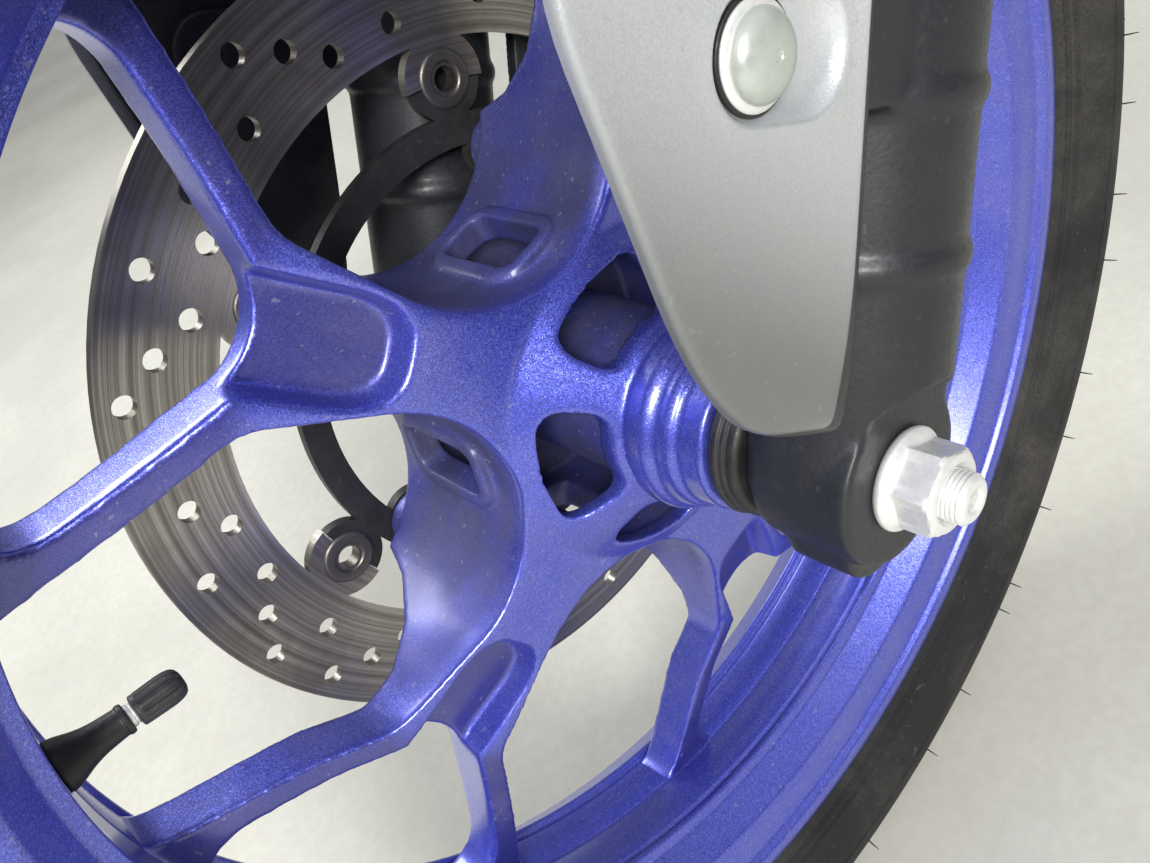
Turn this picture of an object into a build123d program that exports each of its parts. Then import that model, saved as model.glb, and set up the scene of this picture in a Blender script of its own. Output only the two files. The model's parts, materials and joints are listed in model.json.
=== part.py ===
"""Front wheel of a light motorcycle, held in its two fork sliders.

Millimetres. +X points forward, +Y to the rider's left, +Z up. The origin is the centre of the left
slider's mouth, where the stanchion goes in. Everything else is set out from the wheel's centre, in
three planes seen from the left, where the first direction points rearwards:
wheel_plane   up is +Z, out is +Y
fork_plane    the same, leant back by the rake, so that its second direction runs up the fork
section_plane first direction radial, second direction out to the left, for turned profiles
"""

import os
from math import asin, atan2, cos, degrees, radians, sin, sqrt, tan

from build123d import *

# Fork
rake = 25.0
fork_reach = 350.0
leg_spacing = 190.0
stanchion_radius = 20.5
stanchion_gap = 0.06
slider_radius = 26.5
slider_top_radius = 30.5
slider_top_height = 46.0
slider_bore_depth = 262.0
collar_heights = (58.0, 96.0)
collar_height = 5.0
collar_proud = 1.4

# Axle, its lugs, nut and spacers
axle_radius = 7.5
axle_thread_radius = 7.0
axle_thread_end = 134.0
axle_socket_radius = 3.0
axle_socket_depth = 9.0
axle_head_radius = 13.0
axle_head_height = 9.0
lug_radius = 25.5
lug_inner_face = 78.0
lug_neck_radius = 20.5
lug_neck_height = 6.0
lug_outer_face = 113.5
lug_fit = 0.1
spot_face_radius = 27.5
nut_flange_radius = 14.3
nut_flange_height = 3.0
nut_across_flats = 22.0
nut_height = 15.0
spacer_radius = 12.0
spacer_collar_radius = 24.0
spacer_ridge_height = 3.4
spacer_ridge_proud = 1.0
pinch_lobe_place = (-3.0, -19.0)
pinch_lobe_radius = 12.0
pinch_lobe_faces = (88.0, 109.0)

# Bearings, seals and hub
bearing_outer_radius = 17.5
bearing_width = 11.0
bearing_face_left = 62.0
bearing_face_right = 44.0
bearing_running_gap = 0.05
press_gap = 0.02
seal_height = 3.0
side_gap = 0.6
hub_tube_radius = 28.0
hub_end_gap = 3.5
hub_ring_radius = 31.0
hub_ring_height = 9.0
hub_ring_face = 48.0
hub_neck_radius = 26.0
hub_rim_radius = 25.0
hub_core_radius = 13.0
flange_face = 48.0
boss_circle_radius = 73.0
boss_radius = 12.0

# Rim and tyre
rim_lip_radius = 232.0
rim_lip_half_width = 42.0
rim_flange_half_width = 35.0
rim_flange_height = 13.7
rim_well_depth = 22.3
rim_well_half_width = 13.0
rim_wall = 6.0
tyre_radius = 293.0
tyre_half_width = 54.0
tyre_wall = 9.0
crown_facets = 10
tyre_bead_width = 11.0
tyre_gap = 0.3

# Spokes
spoke_count = 5
first_spoke = 133.4
sector_arc_distance = 104.0
sector_arc_radius = 46.6
web_edge_angle = 14.0
web_length = 130.4
web_corner_radius = 18.0
arm_angle = 51.0
arm_width = 9.0
crotch_radius = 24.0
arm_root_radius = 12.0
ring_ledge = 0.6
near_face = ((26.0, 41.0), (58.0, 20.0), (88.0, 18.5), (122.0, 12.5), (152.0, 5.0))
arm_foot = (-1.5, -16.0)
far_face = ((150.0, -13.5), (134.0, -9.0), (120.0, -9.5), (106.0, -18.0), (93.0, -34.0), (87.0, -48.0), (26.0, -48.0))
wall = 7.0
pocket_floor = ((80.0, 12.5), (96.0, 8.5), (128.0, 0.0), (160.0, -3.0))
pocket_tip = 95.5
pocket_tip_half_width = 9.5
pocket_shoulder = 10.5
pocket_shoulder_half_width = 12.4
pocket_mouth_half_width = 15.2
pocket_draft = 12.0
window_length = 34.0
window_width = 18.0
window_centre = -15.0
window_corner = 5.0
window_rim = 5.0
window_rim_reach = 61.5
face_opening_inner = 32.0
face_opening_outer = 50.5
hollow_radius = 51.5
face_opening_half_angle = 25.0
face_opening_corner = 6.5

# Brake
disc_radius = 148.0
disc_inner_radius = 110.5
disc_thickness = 4.0
disc_plane = 60.0
disc_hole_radius = 3.7
disc_hole_radii = (120.0, 130.0, 139.6, 123.4, 139.2, 129.5, 119.8, 136.2)
disc_hole_rows = 8
first_disc_hole = 137.0
bobbin_count = 6
first_bobbin = 73.5
bobbin_circle_radius = 98.0
bobbin_radius = 7.0
bobbin_head_radius = 10.0
bobbin_head_height = 0.9
bobbin_hole_radius = 4.0
bobbin_gap = 0.1
disc_lug_radius = 15.5
carrier_split = 0.6
carrier_outer_radius = 86.0
carrier_inner_radius = 75.5
carrier_tip_radius = 14.0
disc_bolt_radius = 4.0
disc_bolt_head_radius = 7.0
bolt_gap = 0.1
caliper_angle = 23.0
pad_inset = 17.0
caliper_shift = 6.0
caliper_depth = 58.0
caliper_length = 76.0
caliper_corner = 12.0
caliper_inner_face = 34.0
caliper_outer_face = 92.0
caliper_ear_width = 16.0
caliper_ear_thickness = 9.0
slide_pin_offset = 48.0
slide_pin_radius = 5.0
disc_clearance = 3.5
pad_length = 58.0
pad_height = 32.0
pad_thickness = 5.0
pad_gap = 0.5
pad_window = 44.0
pad_pin_rise = 9.0
pad_pin_offset = 14.0
pad_pin_radius = 2.5
backing_thickness = 4.0
bracket_outer_face = -78.2
bracket_thickness = 6.0
bracket_arm_width = 17.0
bracket_arm_radius = 97.0
bracket_bolt_places = ((36.0, 62.0), (36.0, 150.0))
bracket_bolt_radius = 4.0
bracket_lug_width = 21.0
bracket_lug_thickness = 12.0

# Valve
valve_angle = 169.4
valve_hole_radius = 5.8
valve_foot_radius = 9.0
valve_length = 29.0
valve_rubber_length = 20.0
valve_thread_radius = 3.9
valve_cap_radius = 4.6
valve_cap_length = 13.0
valve_pad_radius = 12.0

# Guards and mudguard
guard_inner_face = 116.0
guard_thickness = 3.2
guard_outline = ((-33.5, 300.0), (-34.5, 50.0), (-36.5, 26.0), (-66.5, 34.5), (-80.0, 47.0), (-90.0, 62.0),
                 (-115.5, 120.0), (-112.0, 240.0), (-76.0, 300.0))
guard_corner = 6.0
guard_bolt_places = ((-70.5, 108.6), (-68.0, 264.0))
guard_bolt_radius = 10.0
guard_shank_radius = 3.0
guard_dish_shift = (7.5, 2.2)
guard_dish_radius = 20.5
guard_dish_depth = 1.8
guard_bolt_dome = 4.5
stay_thickness = 8.0
stay_width = 28.0
mudguard_clearance = 14.0
mudguard_crown = 8.0
mudguard_thickness = 2.5
mudguard_half_width = 62.0
mudguard_skirt = 26.0
mudguard_bevel = 8.0
mudguard_rear = 28.0
mudguard_front = 148.0
ear_boss_place = (-10.0, 262.0)
ear_boss_radius = 9.0
ear_overlap = 15.0
ear_border = 4.0
dust_seal_height = 9.0

pitch = 360 / spoke_count
half_pitch = pitch / 2
hub_end_left = bearing_face_left + hub_end_gap
hub_end_right = bearing_face_right + hub_end_gap
carrier_thickness = disc_thickness
bead_seat_radius = rim_lip_radius - rim_flange_height
rim_well_radius = bead_seat_radius - rim_well_depth
barrel_radius = rim_well_radius - rim_wall
valve_tip_reach = barrel_radius - valve_length
caliper_radius = disc_radius - pad_inset
caliper_middle = caliper_radius + caliper_shift
pad_pin_radial = caliper_radius + pad_height / 2 + pad_pin_rise
mudguard_radius = tyre_radius + mudguard_clearance
ear_top = mudguard_radius - mudguard_skirt + ear_overlap
leg_offset = leg_spacing / 2
lean = radians(rake)

wheel_centre = Vector(fork_reach * sin(lean), -leg_offset, -fork_reach * cos(lean))
wheel_plane = Plane(origin=wheel_centre, x_dir=(-1, 0, 0), z_dir=(0, 1, 0))
fork_plane = Plane(origin=wheel_centre, x_dir=(-cos(lean), 0, -sin(lean)), z_dir=(0, 1, 0))
section_plane = Plane(origin=wheel_centre, x_dir=(-1, 0, 0), z_dir=(0, 0, -1))
middle_plane = Plane(origin=wheel_centre, x_dir=(1, 0, 0), z_dir=(0, 1, 0))
axle_line = Axis(wheel_centre, (0, 1, 0))


def polar(radius, angle):
    """A point in one of the side planes, by radius and by angle from the rear."""
    return (radius * cos(radians(angle)), radius * sin(radians(angle)))


def turned(point, angle):
    """A point of a side plane, turned about the axle."""
    along, across = point
    c, s = cos(radians(angle)), sin(radians(angle))
    return (along * c - across * s, along * s + across * c)


def reach(start, angle, radius):
    """Where a line that leaves a point of a side plane at an angle meets a circle about the axle."""
    c, s = cos(radians(angle)), sin(radians(angle))
    near = start[0] * c + start[1] * s
    run = sqrt(near * near - start[0] ** 2 - start[1] ** 2 + radius * radius) - near
    return (start[0] + run * c, start[1] + run * s)


def leg_section(offset):
    """The plane of a slider's turned profile: first direction out from its centre line, second up it."""
    middle = fork_plane.from_local_coords(Vector(0, 0, offset))
    return Plane(origin=middle, x_dir=(0, 1, 0), z_dir=(cos(lean), 0, sin(lean)))


def leg_line(offset):
    """A slider's centre line."""
    return Axis(leg_section(offset).origin, fork_plane.y_dir)


def radial_plane(angle, radius, height):
    """A plane facing out along a radius of the wheel, its first direction along the axle."""
    outward = wheel_plane.from_local_coords(Vector(*polar(radius, angle), height))
    facing = outward - wheel_plane.from_local_coords(Vector(0, 0, height))
    return Plane(origin=outward, x_dir=(0, 1, 0), z_dir=facing.normalized())


def radial_section(angle):
    """The plane through the axle at an angle: first direction radial, second out to the left."""
    outward = radial_plane(angle, 1, 0).z_dir
    return Plane(origin=wheel_centre, x_dir=outward, z_dir=outward.cross(Vector(0, 1, 0)))


def bar(start, end, width):
    """Adds a flat bar with round ends to the sketch that is open."""
    run, rise = end[0] - start[0], end[1] - start[1]
    middle = ((start[0] + end[0]) / 2, (start[1] + end[1]) / 2)
    with Locations(Location(Vector(*middle, 0), degrees(atan2(rise, run)))):
        SlotCenterToCenter(sqrt(run * run + rise * rise), width)


# The outline of the large window between two neighbouring Y spokes, about its middle line. Its inner
# end is one arc, then the edges follow each spoke's web and its arm out to the rim's barrel.
ring_radius = barrel_radius + ring_ledge
arc_middle = polar(sector_arc_distance, half_pitch)
web_start = (arc_middle[0] + sector_arc_radius * sin(radians(web_edge_angle)),
             arc_middle[1] - sector_arc_radius * cos(radians(web_edge_angle)))
web_corner = (web_length, web_start[1] + (web_length - web_start[0]) * tan(radians(web_edge_angle)))
arm_end = reach(web_corner, arm_angle, ring_radius)
window_edge = [turned(point, -half_pitch) for point in (web_start, web_corner, arm_end)]

with BuildSketch() as sector_window:
    with BuildLine():
        lower = FilletPolyline(window_edge[0], window_edge[1], window_edge[2], radius=web_corner_radius)
        upper = mirror(lower, about=Plane.XZ)
        ThreePointArc(window_edge[0], (sector_arc_distance - sector_arc_radius, 0),
                      (window_edge[0][0], -window_edge[0][1]))
        ThreePointArc(window_edge[2], (ring_radius, 0), (window_edge[2][0], -window_edge[2][1]))
    make_face()
    fillet(sector_window.vertices().sort_by(Axis.X)[-2:], radius=arm_root_radius)

# The window between the two arms of one Y, about the Y's own axis.
inner_start = (web_corner[0] + arm_width * sin(radians(arm_angle)), web_corner[1] - arm_width * cos(radians(arm_angle)))
apex = inner_start[0] - inner_start[1] / tan(radians(arm_angle))
inner_end = reach((apex, 0), arm_angle, ring_radius)
with BuildSketch() as arm_window:
    with BuildLine():
        Polyline(inner_end, (apex, 0), (inner_end[0], -inner_end[1]))
        ThreePointArc(inner_end, (ring_radius, 0), (inner_end[0], -inner_end[1]))
    make_face()
    fillet(arm_window.vertices().sort_by(Axis.X)[-2:], radius=arm_root_radius)
    fillet(arm_window.vertices().sort_by(Axis.X)[0], radius=crotch_radius)

# The opening in the hub's roof, between two spokes.
with BuildSketch() as roof_opening:
    with BuildLine():
        opening_angles = (-face_opening_half_angle, 0, face_opening_half_angle)
        inner_arc = ThreePointArc(*[polar(face_opening_inner, angle) for angle in opening_angles])
        outer_arc = ThreePointArc(*[polar(face_opening_outer, angle) for angle in opening_angles])
        Line(inner_arc @ 0, outer_arc @ 0)
        Line(inner_arc @ 1, outer_arc @ 1)
    make_face()
    fillet(roof_opening.vertices(), radius=face_opening_corner)

# The recess in each Y's web at the level of the wheel's middle, from a round tip out through the crotch.
pocket_end = apex + crotch_radius
with BuildSketch() as pocket_outline:
    with BuildLine():
        Polyline((pocket_tip, pocket_tip_half_width), (pocket_tip + pocket_shoulder, pocket_shoulder_half_width),
                 (pocket_end, pocket_mouth_half_width), (pocket_end, -pocket_mouth_half_width),
                 (pocket_tip + pocket_shoulder, -pocket_shoulder_half_width), (pocket_tip, -pocket_tip_half_width),
                 close=True)
    make_face()
    fillet(pocket_outline.vertices().group_by(Axis.X)[0], radius=pocket_tip_half_width * 0.9)

# The pockets' tool: the recess outlines with drafted walls, kept above a floor that slopes down outwards.
pocket_top = near_face[0][1]
with BuildPart() as pocket_tool:
    with BuildSketch(wheel_plane):
        with PolarLocations(0, spoke_count, start_angle=first_spoke):
            add(pocket_outline.sketch)
    extrude(amount=pocket_top, taper=-pocket_draft)
    with BuildSketch(section_plane):
        with BuildLine():
            Polyline(*pocket_floor, (pocket_floor[-1][0], pocket_top), (pocket_floor[0][0], pocket_top), close=True)
        make_face()
    revolve(axis=axle_line, mode=Mode.INTERSECT)

with BuildPart() as wheel_casting:
    # A dished slab from the hub to the rim, the hub's tube with its end ring, and the hollow between them
    with BuildSketch(section_plane):
        with BuildLine():
            foot = [(barrel_radius + 4, arm_foot[0]), (barrel_radius + 4, arm_foot[1]), (barrel_radius, arm_foot[1] - 1.5)]
            Polyline(*near_face, *foot, *far_face, close=True)
        make_face()
        with BuildLine():
            neck_start = hub_ring_face + 6
            Polyline((hub_core_radius, -hub_end_right), (hub_tube_radius, -hub_end_right),
                     (hub_tube_radius, hub_ring_face - hub_ring_height),
                     (hub_ring_radius, hub_ring_face - hub_ring_height + 2), (hub_ring_radius, hub_ring_face - 0.5),
                     (hub_ring_radius - 1.5, hub_ring_face + 1.5), (hub_tube_radius, hub_ring_face + 3),
                     (hub_tube_radius, neck_start - 1), (hub_neck_radius, neck_start),
                     (hub_neck_radius, neck_start + 4), (hub_rim_radius, neck_start + 5),
                     (hub_rim_radius, hub_end_left - 0.8), (hub_rim_radius - 0.8, hub_end_left),
                     (hub_core_radius, hub_end_left), close=True)
        make_face()
        with BuildLine():
            roof_slope = (near_face[0][1] - near_face[1][1]) / (near_face[1][0] - near_face[0][0])
            roof_inner = near_face[0][1] - wall - (hub_tube_radius - near_face[0][0]) * roof_slope
            roof_outer = near_face[0][1] - wall - (hollow_radius - near_face[0][0]) * roof_slope
            Polyline((hub_tube_radius, wall - flange_face), (hollow_radius, wall - flange_face),
                     (hollow_radius, roof_outer), (hub_tube_radius, roof_inner), close=True)
        make_face(mode=Mode.SUBTRACT)
    revolve(axis=axle_line)
    with BuildSketch(wheel_plane.offset(far_face[-1][1] - 1)):
        with PolarLocations(0, spoke_count, start_angle=first_spoke + half_pitch):
            add(sector_window.sketch)
        with PolarLocations(0, spoke_count, start_angle=first_spoke):
            add(arm_window.sketch)
    extrude(amount=near_face[0][1] - far_face[-1][1] + 2, mode=Mode.SUBTRACT)
    # Raised rims round the hub's side windows, on the concave walls between the spokes
    for index in range(spoke_count):
        middle_angle = first_spoke + half_pitch + index * pitch
        with BuildSketch(radial_plane(middle_angle, hollow_radius + wall / 2, window_centre)):
            RectangleRounded(window_length + 2 * window_rim, window_width + 2 * window_rim, window_corner + window_rim)
        extrude(amount=window_rim_reach - hollow_radius - wall / 2)
    # Bosses that carry the brake disc
    with BuildSketch(wheel_plane.offset(carrier_thickness / 2 - disc_plane)):
        with PolarLocations(boss_circle_radius, spoke_count, start_angle=first_spoke):
            Circle(boss_radius)
    extrude(amount=disc_plane - carrier_thickness / 2 - flange_face + wall)
    # The roof's openings and the side windows into the hollow
    with BuildSketch(wheel_plane):
        with PolarLocations(0, spoke_count, start_angle=first_spoke + half_pitch):
            add(roof_opening.sketch)
    extrude(amount=hub_ring_face, mode=Mode.SUBTRACT)
    for index in range(spoke_count):
        middle_angle = first_spoke + half_pitch + index * pitch
        with BuildSketch(radial_plane(middle_angle, hub_tube_radius + 4, window_centre)):
            RectangleRounded(window_length, window_width, window_corner)
        extrude(amount=window_rim_reach, mode=Mode.SUBTRACT)
    add(pocket_tool.part, mode=Mode.SUBTRACT)
    # The rim
    with BuildSketch(section_plane):
        with BuildLine():
            outer_side = [(rim_well_radius, rim_well_half_width), (bead_seat_radius - 1.5, rim_well_half_width + 8),
                          (bead_seat_radius, rim_flange_half_width), (rim_lip_radius - 2, rim_flange_half_width),
                          (rim_lip_radius, rim_flange_half_width + 2), (rim_lip_radius, rim_lip_half_width - 1)]
            inner_side = [(rim_lip_radius - 1, rim_lip_half_width), (rim_lip_radius - 6, rim_lip_half_width),
                          (rim_lip_radius - 9, rim_lip_half_width - 3), (rim_lip_radius - 20, rim_lip_half_width - 4.5),
                          (rim_lip_radius - 24, rim_lip_half_width - 6.5), (barrel_radius + 10, rim_lip_half_width - 19),
                          (barrel_radius + 6.5, rim_lip_half_width - 20), (barrel_radius + 2, rim_well_half_width),
                          (barrel_radius, 0)]
            left_side = outer_side + inner_side
            right_side = [(radius, -height) for radius, height in reversed(left_side[:-1])]
            Polyline(*left_side, *right_side, close=True)
        make_face()
    revolve(axis=axle_line)
    # Bearing seats, the core through the hub, the valve's hole and the disc bolts' holes
    for direction, face in ((1, bearing_face_left), (-1, bearing_face_right)):
        with BuildSketch(wheel_plane.offset(direction * (face - bearing_width))):
            Circle(bearing_outer_radius + press_gap)
        extrude(amount=direction * (bearing_width + hub_end_gap + 1), mode=Mode.SUBTRACT)
    with BuildSketch(radial_plane(valve_angle, barrel_radius - 4, 0)):
        Circle(valve_hole_radius)
    extrude(amount=rim_well_radius - barrel_radius + 8, mode=Mode.SUBTRACT)
    with BuildSketch(wheel_plane.offset(-disc_plane)):
        with PolarLocations(boss_circle_radius, spoke_count, start_angle=first_spoke):
            Circle(disc_bolt_radius)
    extrude(amount=disc_plane - flange_face + wall, mode=Mode.SUBTRACT)

tyre_bead = rim_flange_half_width - tyre_gap
tyre_toe = rim_flange_half_width - tyre_bead_width
tyre_height = tyre_radius - rim_lip_radius
shoulder_radius = rim_lip_radius + 0.59 * tyre_height
with BuildPart() as tyre:
    with BuildSketch(section_plane):
        with BuildLine():
            side = [(bead_seat_radius + tyre_gap, tyre_toe), (bead_seat_radius + tyre_gap, tyre_bead),
                    (rim_lip_radius - 1, tyre_bead), (rim_lip_radius + 0.2 * tyre_height, tyre_half_width - 5),
                    (rim_lip_radius + 0.41 * tyre_height, tyre_half_width), (shoulder_radius, tyre_half_width - 1)]
            inside = [(rim_lip_radius + 0.23 * tyre_height, tyre_half_width - tyre_wall),
                      (shoulder_radius, tyre_half_width - 1 - tyre_wall), (tyre_radius - tyre_wall, tyre_half_width / 2.5)]
            crown_rise, crown_half = tyre_radius - side[-1][0], side[-1][1]
            crown_arc = (crown_half ** 2 + crown_rise ** 2) / (2 * crown_rise)
            steps = [asin(crown_half / crown_arc) * (1 - 2 * index / crown_facets) for index in range(1, crown_facets)]
            crown = [(tyre_radius - crown_arc * (1 - cos(step)), crown_arc * sin(step)) for step in steps]
            Polyline(*side, *crown, *[(radius, -height) for radius, height in reversed(side)])
            Polyline(side[0], *inside, *[(radius, -height) for radius, height in reversed(inside)],
                     (side[0][0], -side[0][1]))
        make_face()
    revolve(axis=axle_line)

with BuildPart() as disc_rotor:
    with BuildSketch(wheel_plane.offset(-disc_plane - disc_thickness / 2)):
        Circle(disc_radius)
        Circle(disc_inner_radius, mode=Mode.SUBTRACT)
        with PolarLocations(bobbin_circle_radius, bobbin_count, start_angle=first_bobbin):
            Circle(disc_lug_radius)
        Circle(bobbin_circle_radius - carrier_split, mode=Mode.SUBTRACT)
        with PolarLocations(bobbin_circle_radius, bobbin_count, start_angle=first_bobbin):
            Circle(bobbin_radius + bobbin_gap, mode=Mode.SUBTRACT)
        for index, hole_circle in enumerate(disc_hole_radii):
            step = 360 / (disc_hole_rows * len(disc_hole_radii))
            with PolarLocations(hole_circle, disc_hole_rows, start_angle=first_disc_hole + index * step):
                Circle(disc_hole_radius, mode=Mode.SUBTRACT)
    extrude(amount=disc_thickness)

with BuildPart() as disc_carrier:
    with BuildSketch(wheel_plane.offset(-disc_plane - carrier_thickness / 2)):
        Circle(carrier_outer_radius)
        with PolarLocations(bobbin_circle_radius, bobbin_count, start_angle=first_bobbin):
            Circle(carrier_tip_radius)
        Circle(bobbin_circle_radius - 2 * carrier_split, mode=Mode.INTERSECT)
        Circle(carrier_inner_radius, mode=Mode.SUBTRACT)
        with PolarLocations(boss_circle_radius, spoke_count, start_angle=first_spoke):
            Circle(boss_radius)
        with PolarLocations(boss_circle_radius, spoke_count, start_angle=first_spoke):
            Circle(disc_bolt_radius, mode=Mode.SUBTRACT)
        with PolarLocations(bobbin_circle_radius, bobbin_count, start_angle=first_bobbin):
            Circle(bobbin_radius + bobbin_gap, mode=Mode.SUBTRACT)
    extrude(amount=carrier_thickness)

with BuildPart() as disc_bobbins:
    for start, height, radius in ((-disc_thickness / 2, disc_thickness, bobbin_radius),
                                  (disc_thickness / 2, bobbin_head_height, bobbin_head_radius),
                                  (-disc_thickness / 2 - bobbin_head_height, bobbin_head_height, bobbin_head_radius)):
        with BuildSketch(wheel_plane.offset(-disc_plane + start)):
            with PolarLocations(bobbin_circle_radius, bobbin_count, start_angle=first_bobbin):
                Circle(radius)
                Circle(bobbin_hole_radius, mode=Mode.SUBTRACT)
        extrude(amount=height)

with BuildPart() as disc_bolts:
    with BuildSketch(wheel_plane.offset(-disc_plane - carrier_thickness / 2 - 0.8)):
        with PolarLocations(boss_circle_radius, spoke_count, start_angle=first_spoke):
            Circle(disc_bolt_head_radius)
    extrude(amount=0.8)
    with BuildSketch(wheel_plane.offset(-disc_plane - carrier_thickness / 2)):
        with PolarLocations(boss_circle_radius, spoke_count, start_angle=first_spoke):
            Circle(disc_bolt_radius - bobbin_gap)
    extrude(amount=disc_plane + carrier_thickness / 2 - flange_face + wall - 1)

inner_wall = axle_radius + bearing_running_gap
seal_bore = spacer_radius + side_gap
spacer_bore = axle_radius + lug_fit
spacer_start = side_gap / 2
hub_bearings, hub_seals = [], []
for direction, face in ((1, bearing_face_left), (-1, bearing_face_right)):
    with BuildPart() as bearing:
        with BuildSketch(section_plane):
            with BuildLine():
                profile = [(inner_wall, face - bearing_width), (bearing_outer_radius, face - bearing_width),
                           (bearing_outer_radius, face), (bearing_outer_radius - 2.5, face),
                           (bearing_outer_radius - 3, face - 0.6), (inner_wall + 3, face - 0.6), (inner_wall + 2.5, face),
                           (inner_wall, face)]
                Polyline(*[(radius, direction * height) for radius, height in profile], close=True)
            make_face()
        revolve(axis=axle_line)
    with BuildPart() as hub_seal:
        with BuildSketch(section_plane):
            with BuildLine():
                profile = [(seal_bore, face), (bearing_outer_radius, face), (bearing_outer_radius, face + seal_height),
                           (seal_bore + 1, face + seal_height)]
                Polyline(*[(radius, direction * height) for radius, height in profile], close=True)
            make_face()
        revolve(axis=axle_line)
    hub_bearings.append(bearing)
    hub_seals.append(hub_seal)

with BuildPart() as spacer_left:
    with BuildSketch(section_plane):
        with BuildLine():
            collar_start = hub_end_left + side_gap
            ridge_start = collar_start + spacer_ridge_height
            collar_end = lug_inner_face - 1
            Polyline((spacer_bore, bearing_face_left + spacer_start), (spacer_radius, bearing_face_left + spacer_start),
                     (spacer_radius, collar_start), (spacer_collar_radius - 1.5, collar_start),
                     (spacer_collar_radius, collar_start + 1.5), (spacer_collar_radius, ridge_start - 0.7),
                     (spacer_collar_radius + spacer_ridge_proud, ridge_start),
                     (spacer_collar_radius, ridge_start + 0.7), (spacer_collar_radius, collar_end - 1.5),
                     (spacer_collar_radius - 1.5, collar_end), (lug_neck_radius - 2, collar_end),
                     (lug_neck_radius - 2, lug_inner_face), (spacer_bore, lug_inner_face), close=True)
        make_face()
    revolve(axis=axle_line)
with BuildPart() as spacer_right:
    with BuildSketch(section_plane):
        with BuildLine():
            step = hub_end_right + side_gap
            Polyline((spacer_bore, -bearing_face_right - spacer_start), (spacer_radius, -bearing_face_right - spacer_start),
                     (spacer_radius, -step), (lug_neck_radius - 2, -step), (lug_neck_radius - 2, -lug_inner_face),
                     (spacer_bore, -lug_inner_face), close=True)
        make_face()
    revolve(axis=axle_line)

with BuildPart() as axle:
    with BuildSketch(section_plane):
        with BuildLine():
            Polyline((0, -lug_outer_face - axle_head_height), (axle_head_radius - 2, -lug_outer_face - axle_head_height),
                     (axle_head_radius, -lug_outer_face - axle_head_height + 2), (axle_head_radius, -lug_outer_face),
                     (axle_radius, -lug_outer_face), (axle_radius, lug_outer_face - 2),
                     (axle_thread_radius, lug_outer_face), (axle_thread_radius, axle_thread_end - 1.5),
                     (axle_thread_radius - 1.5, axle_thread_end), (0, axle_thread_end), close=True)
        make_face()
    revolve(axis=axle_line)
    with BuildSketch(wheel_plane.offset(axle_thread_end)):
        Circle(axle_socket_radius)
    extrude(amount=-axle_socket_depth, mode=Mode.SUBTRACT)
    with BuildSketch(wheel_plane.offset(-lug_outer_face - axle_head_height)):
        RegularPolygon(axle_thread_radius, 6)
    extrude(amount=axle_head_height - 1, mode=Mode.SUBTRACT)

with BuildPart() as axle_nut:
    with BuildSketch(wheel_plane.offset(lug_outer_face)):
        Circle(nut_flange_radius)
    extrude(amount=nut_flange_height, taper=12)
    with BuildSketch(wheel_plane.offset(lug_outer_face + nut_flange_height - 0.5)):
        RegularPolygon(nut_across_flats / 2, 6, major_radius=False, rotation=30)
    extrude(amount=nut_height - nut_flange_height + 0.5)
    with BuildSketch(wheel_plane.offset(lug_outer_face)):
        Circle(axle_thread_radius + lug_fit)
    extrude(amount=nut_height, mode=Mode.SUBTRACT)

bore_bottom = fork_reach - slider_bore_depth
with BuildPart() as slider_left:
    with BuildSketch(leg_section(leg_offset)):
        with BuildLine():
            top_start = fork_reach - slider_top_height
            Polyline((0, 0), (slider_radius, 0), (slider_radius, top_start - 8), (slider_top_radius, top_start),
                     (slider_top_radius, fork_reach - 2), (slider_top_radius - 2, fork_reach), (0, fork_reach), close=True)
        make_face()
        for height in collar_heights:
            with Locations((0, height)):
                Rectangle(slider_radius + collar_proud, collar_height, align=(Align.MIN, Align.CENTER))
    revolve(axis=leg_line(leg_offset))
    # The axle's lug, with a neck on the wheel's side and a low lobe for the pinch bolt
    with BuildSketch(section_plane):
        with BuildLine():
            Polyline((0, lug_inner_face), (lug_neck_radius, lug_inner_face), (lug_radius, lug_inner_face + lug_neck_height),
                     (lug_radius, lug_outer_face), (0, lug_outer_face), close=True)
        make_face()
    revolve(axis=axle_line)
    with BuildSketch(fork_plane.offset(pinch_lobe_faces[0])):
        with Locations(pinch_lobe_place):
            Circle(pinch_lobe_radius)
    extrude(amount=pinch_lobe_faces[1] - pinch_lobe_faces[0])
    # Spot faces on both sides of the lug, for the spacer and the nut
    for face, way in ((lug_outer_face, 1), (lug_inner_face, -1)):
        with BuildSketch(fork_plane.offset(face)):
            Circle(spot_face_radius)
        extrude(amount=way * slider_radius, mode=Mode.SUBTRACT)
    # Stays that carry the guard, and the boss that carries the mudguard's ear
    for place in guard_bolt_places:
        with BuildSketch(fork_plane.offset(guard_inner_face - stay_thickness)):
            bar((0, place[1]), place, stay_width)
        extrude(amount=stay_thickness)
    with BuildSketch(fork_plane.offset(mudguard_half_width)):
        with Locations(ear_boss_place):
            Circle(ear_boss_radius)
    extrude(amount=leg_offset - mudguard_half_width)
    # The stanchion's bore, the axle's hole and the holes for the guard's bolts
    with BuildSketch(leg_section(leg_offset)):
        with Locations((0, bore_bottom)):
            Rectangle(stanchion_radius + stanchion_gap, slider_bore_depth + 1, align=(Align.MIN, Align.MIN))
    revolve(axis=leg_line(leg_offset), mode=Mode.SUBTRACT)
    with BuildSketch(fork_plane.offset(lug_inner_face - 1)):
        Circle(axle_radius + lug_fit)
    extrude(amount=lug_outer_face - lug_inner_face + 2, mode=Mode.SUBTRACT)
    with BuildSketch(fork_plane.offset(guard_inner_face - stay_thickness - 1)):
        with Locations(*guard_bolt_places):
            Circle(guard_shank_radius + bolt_gap)
    extrude(amount=stay_thickness + 2, mode=Mode.SUBTRACT)

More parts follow.
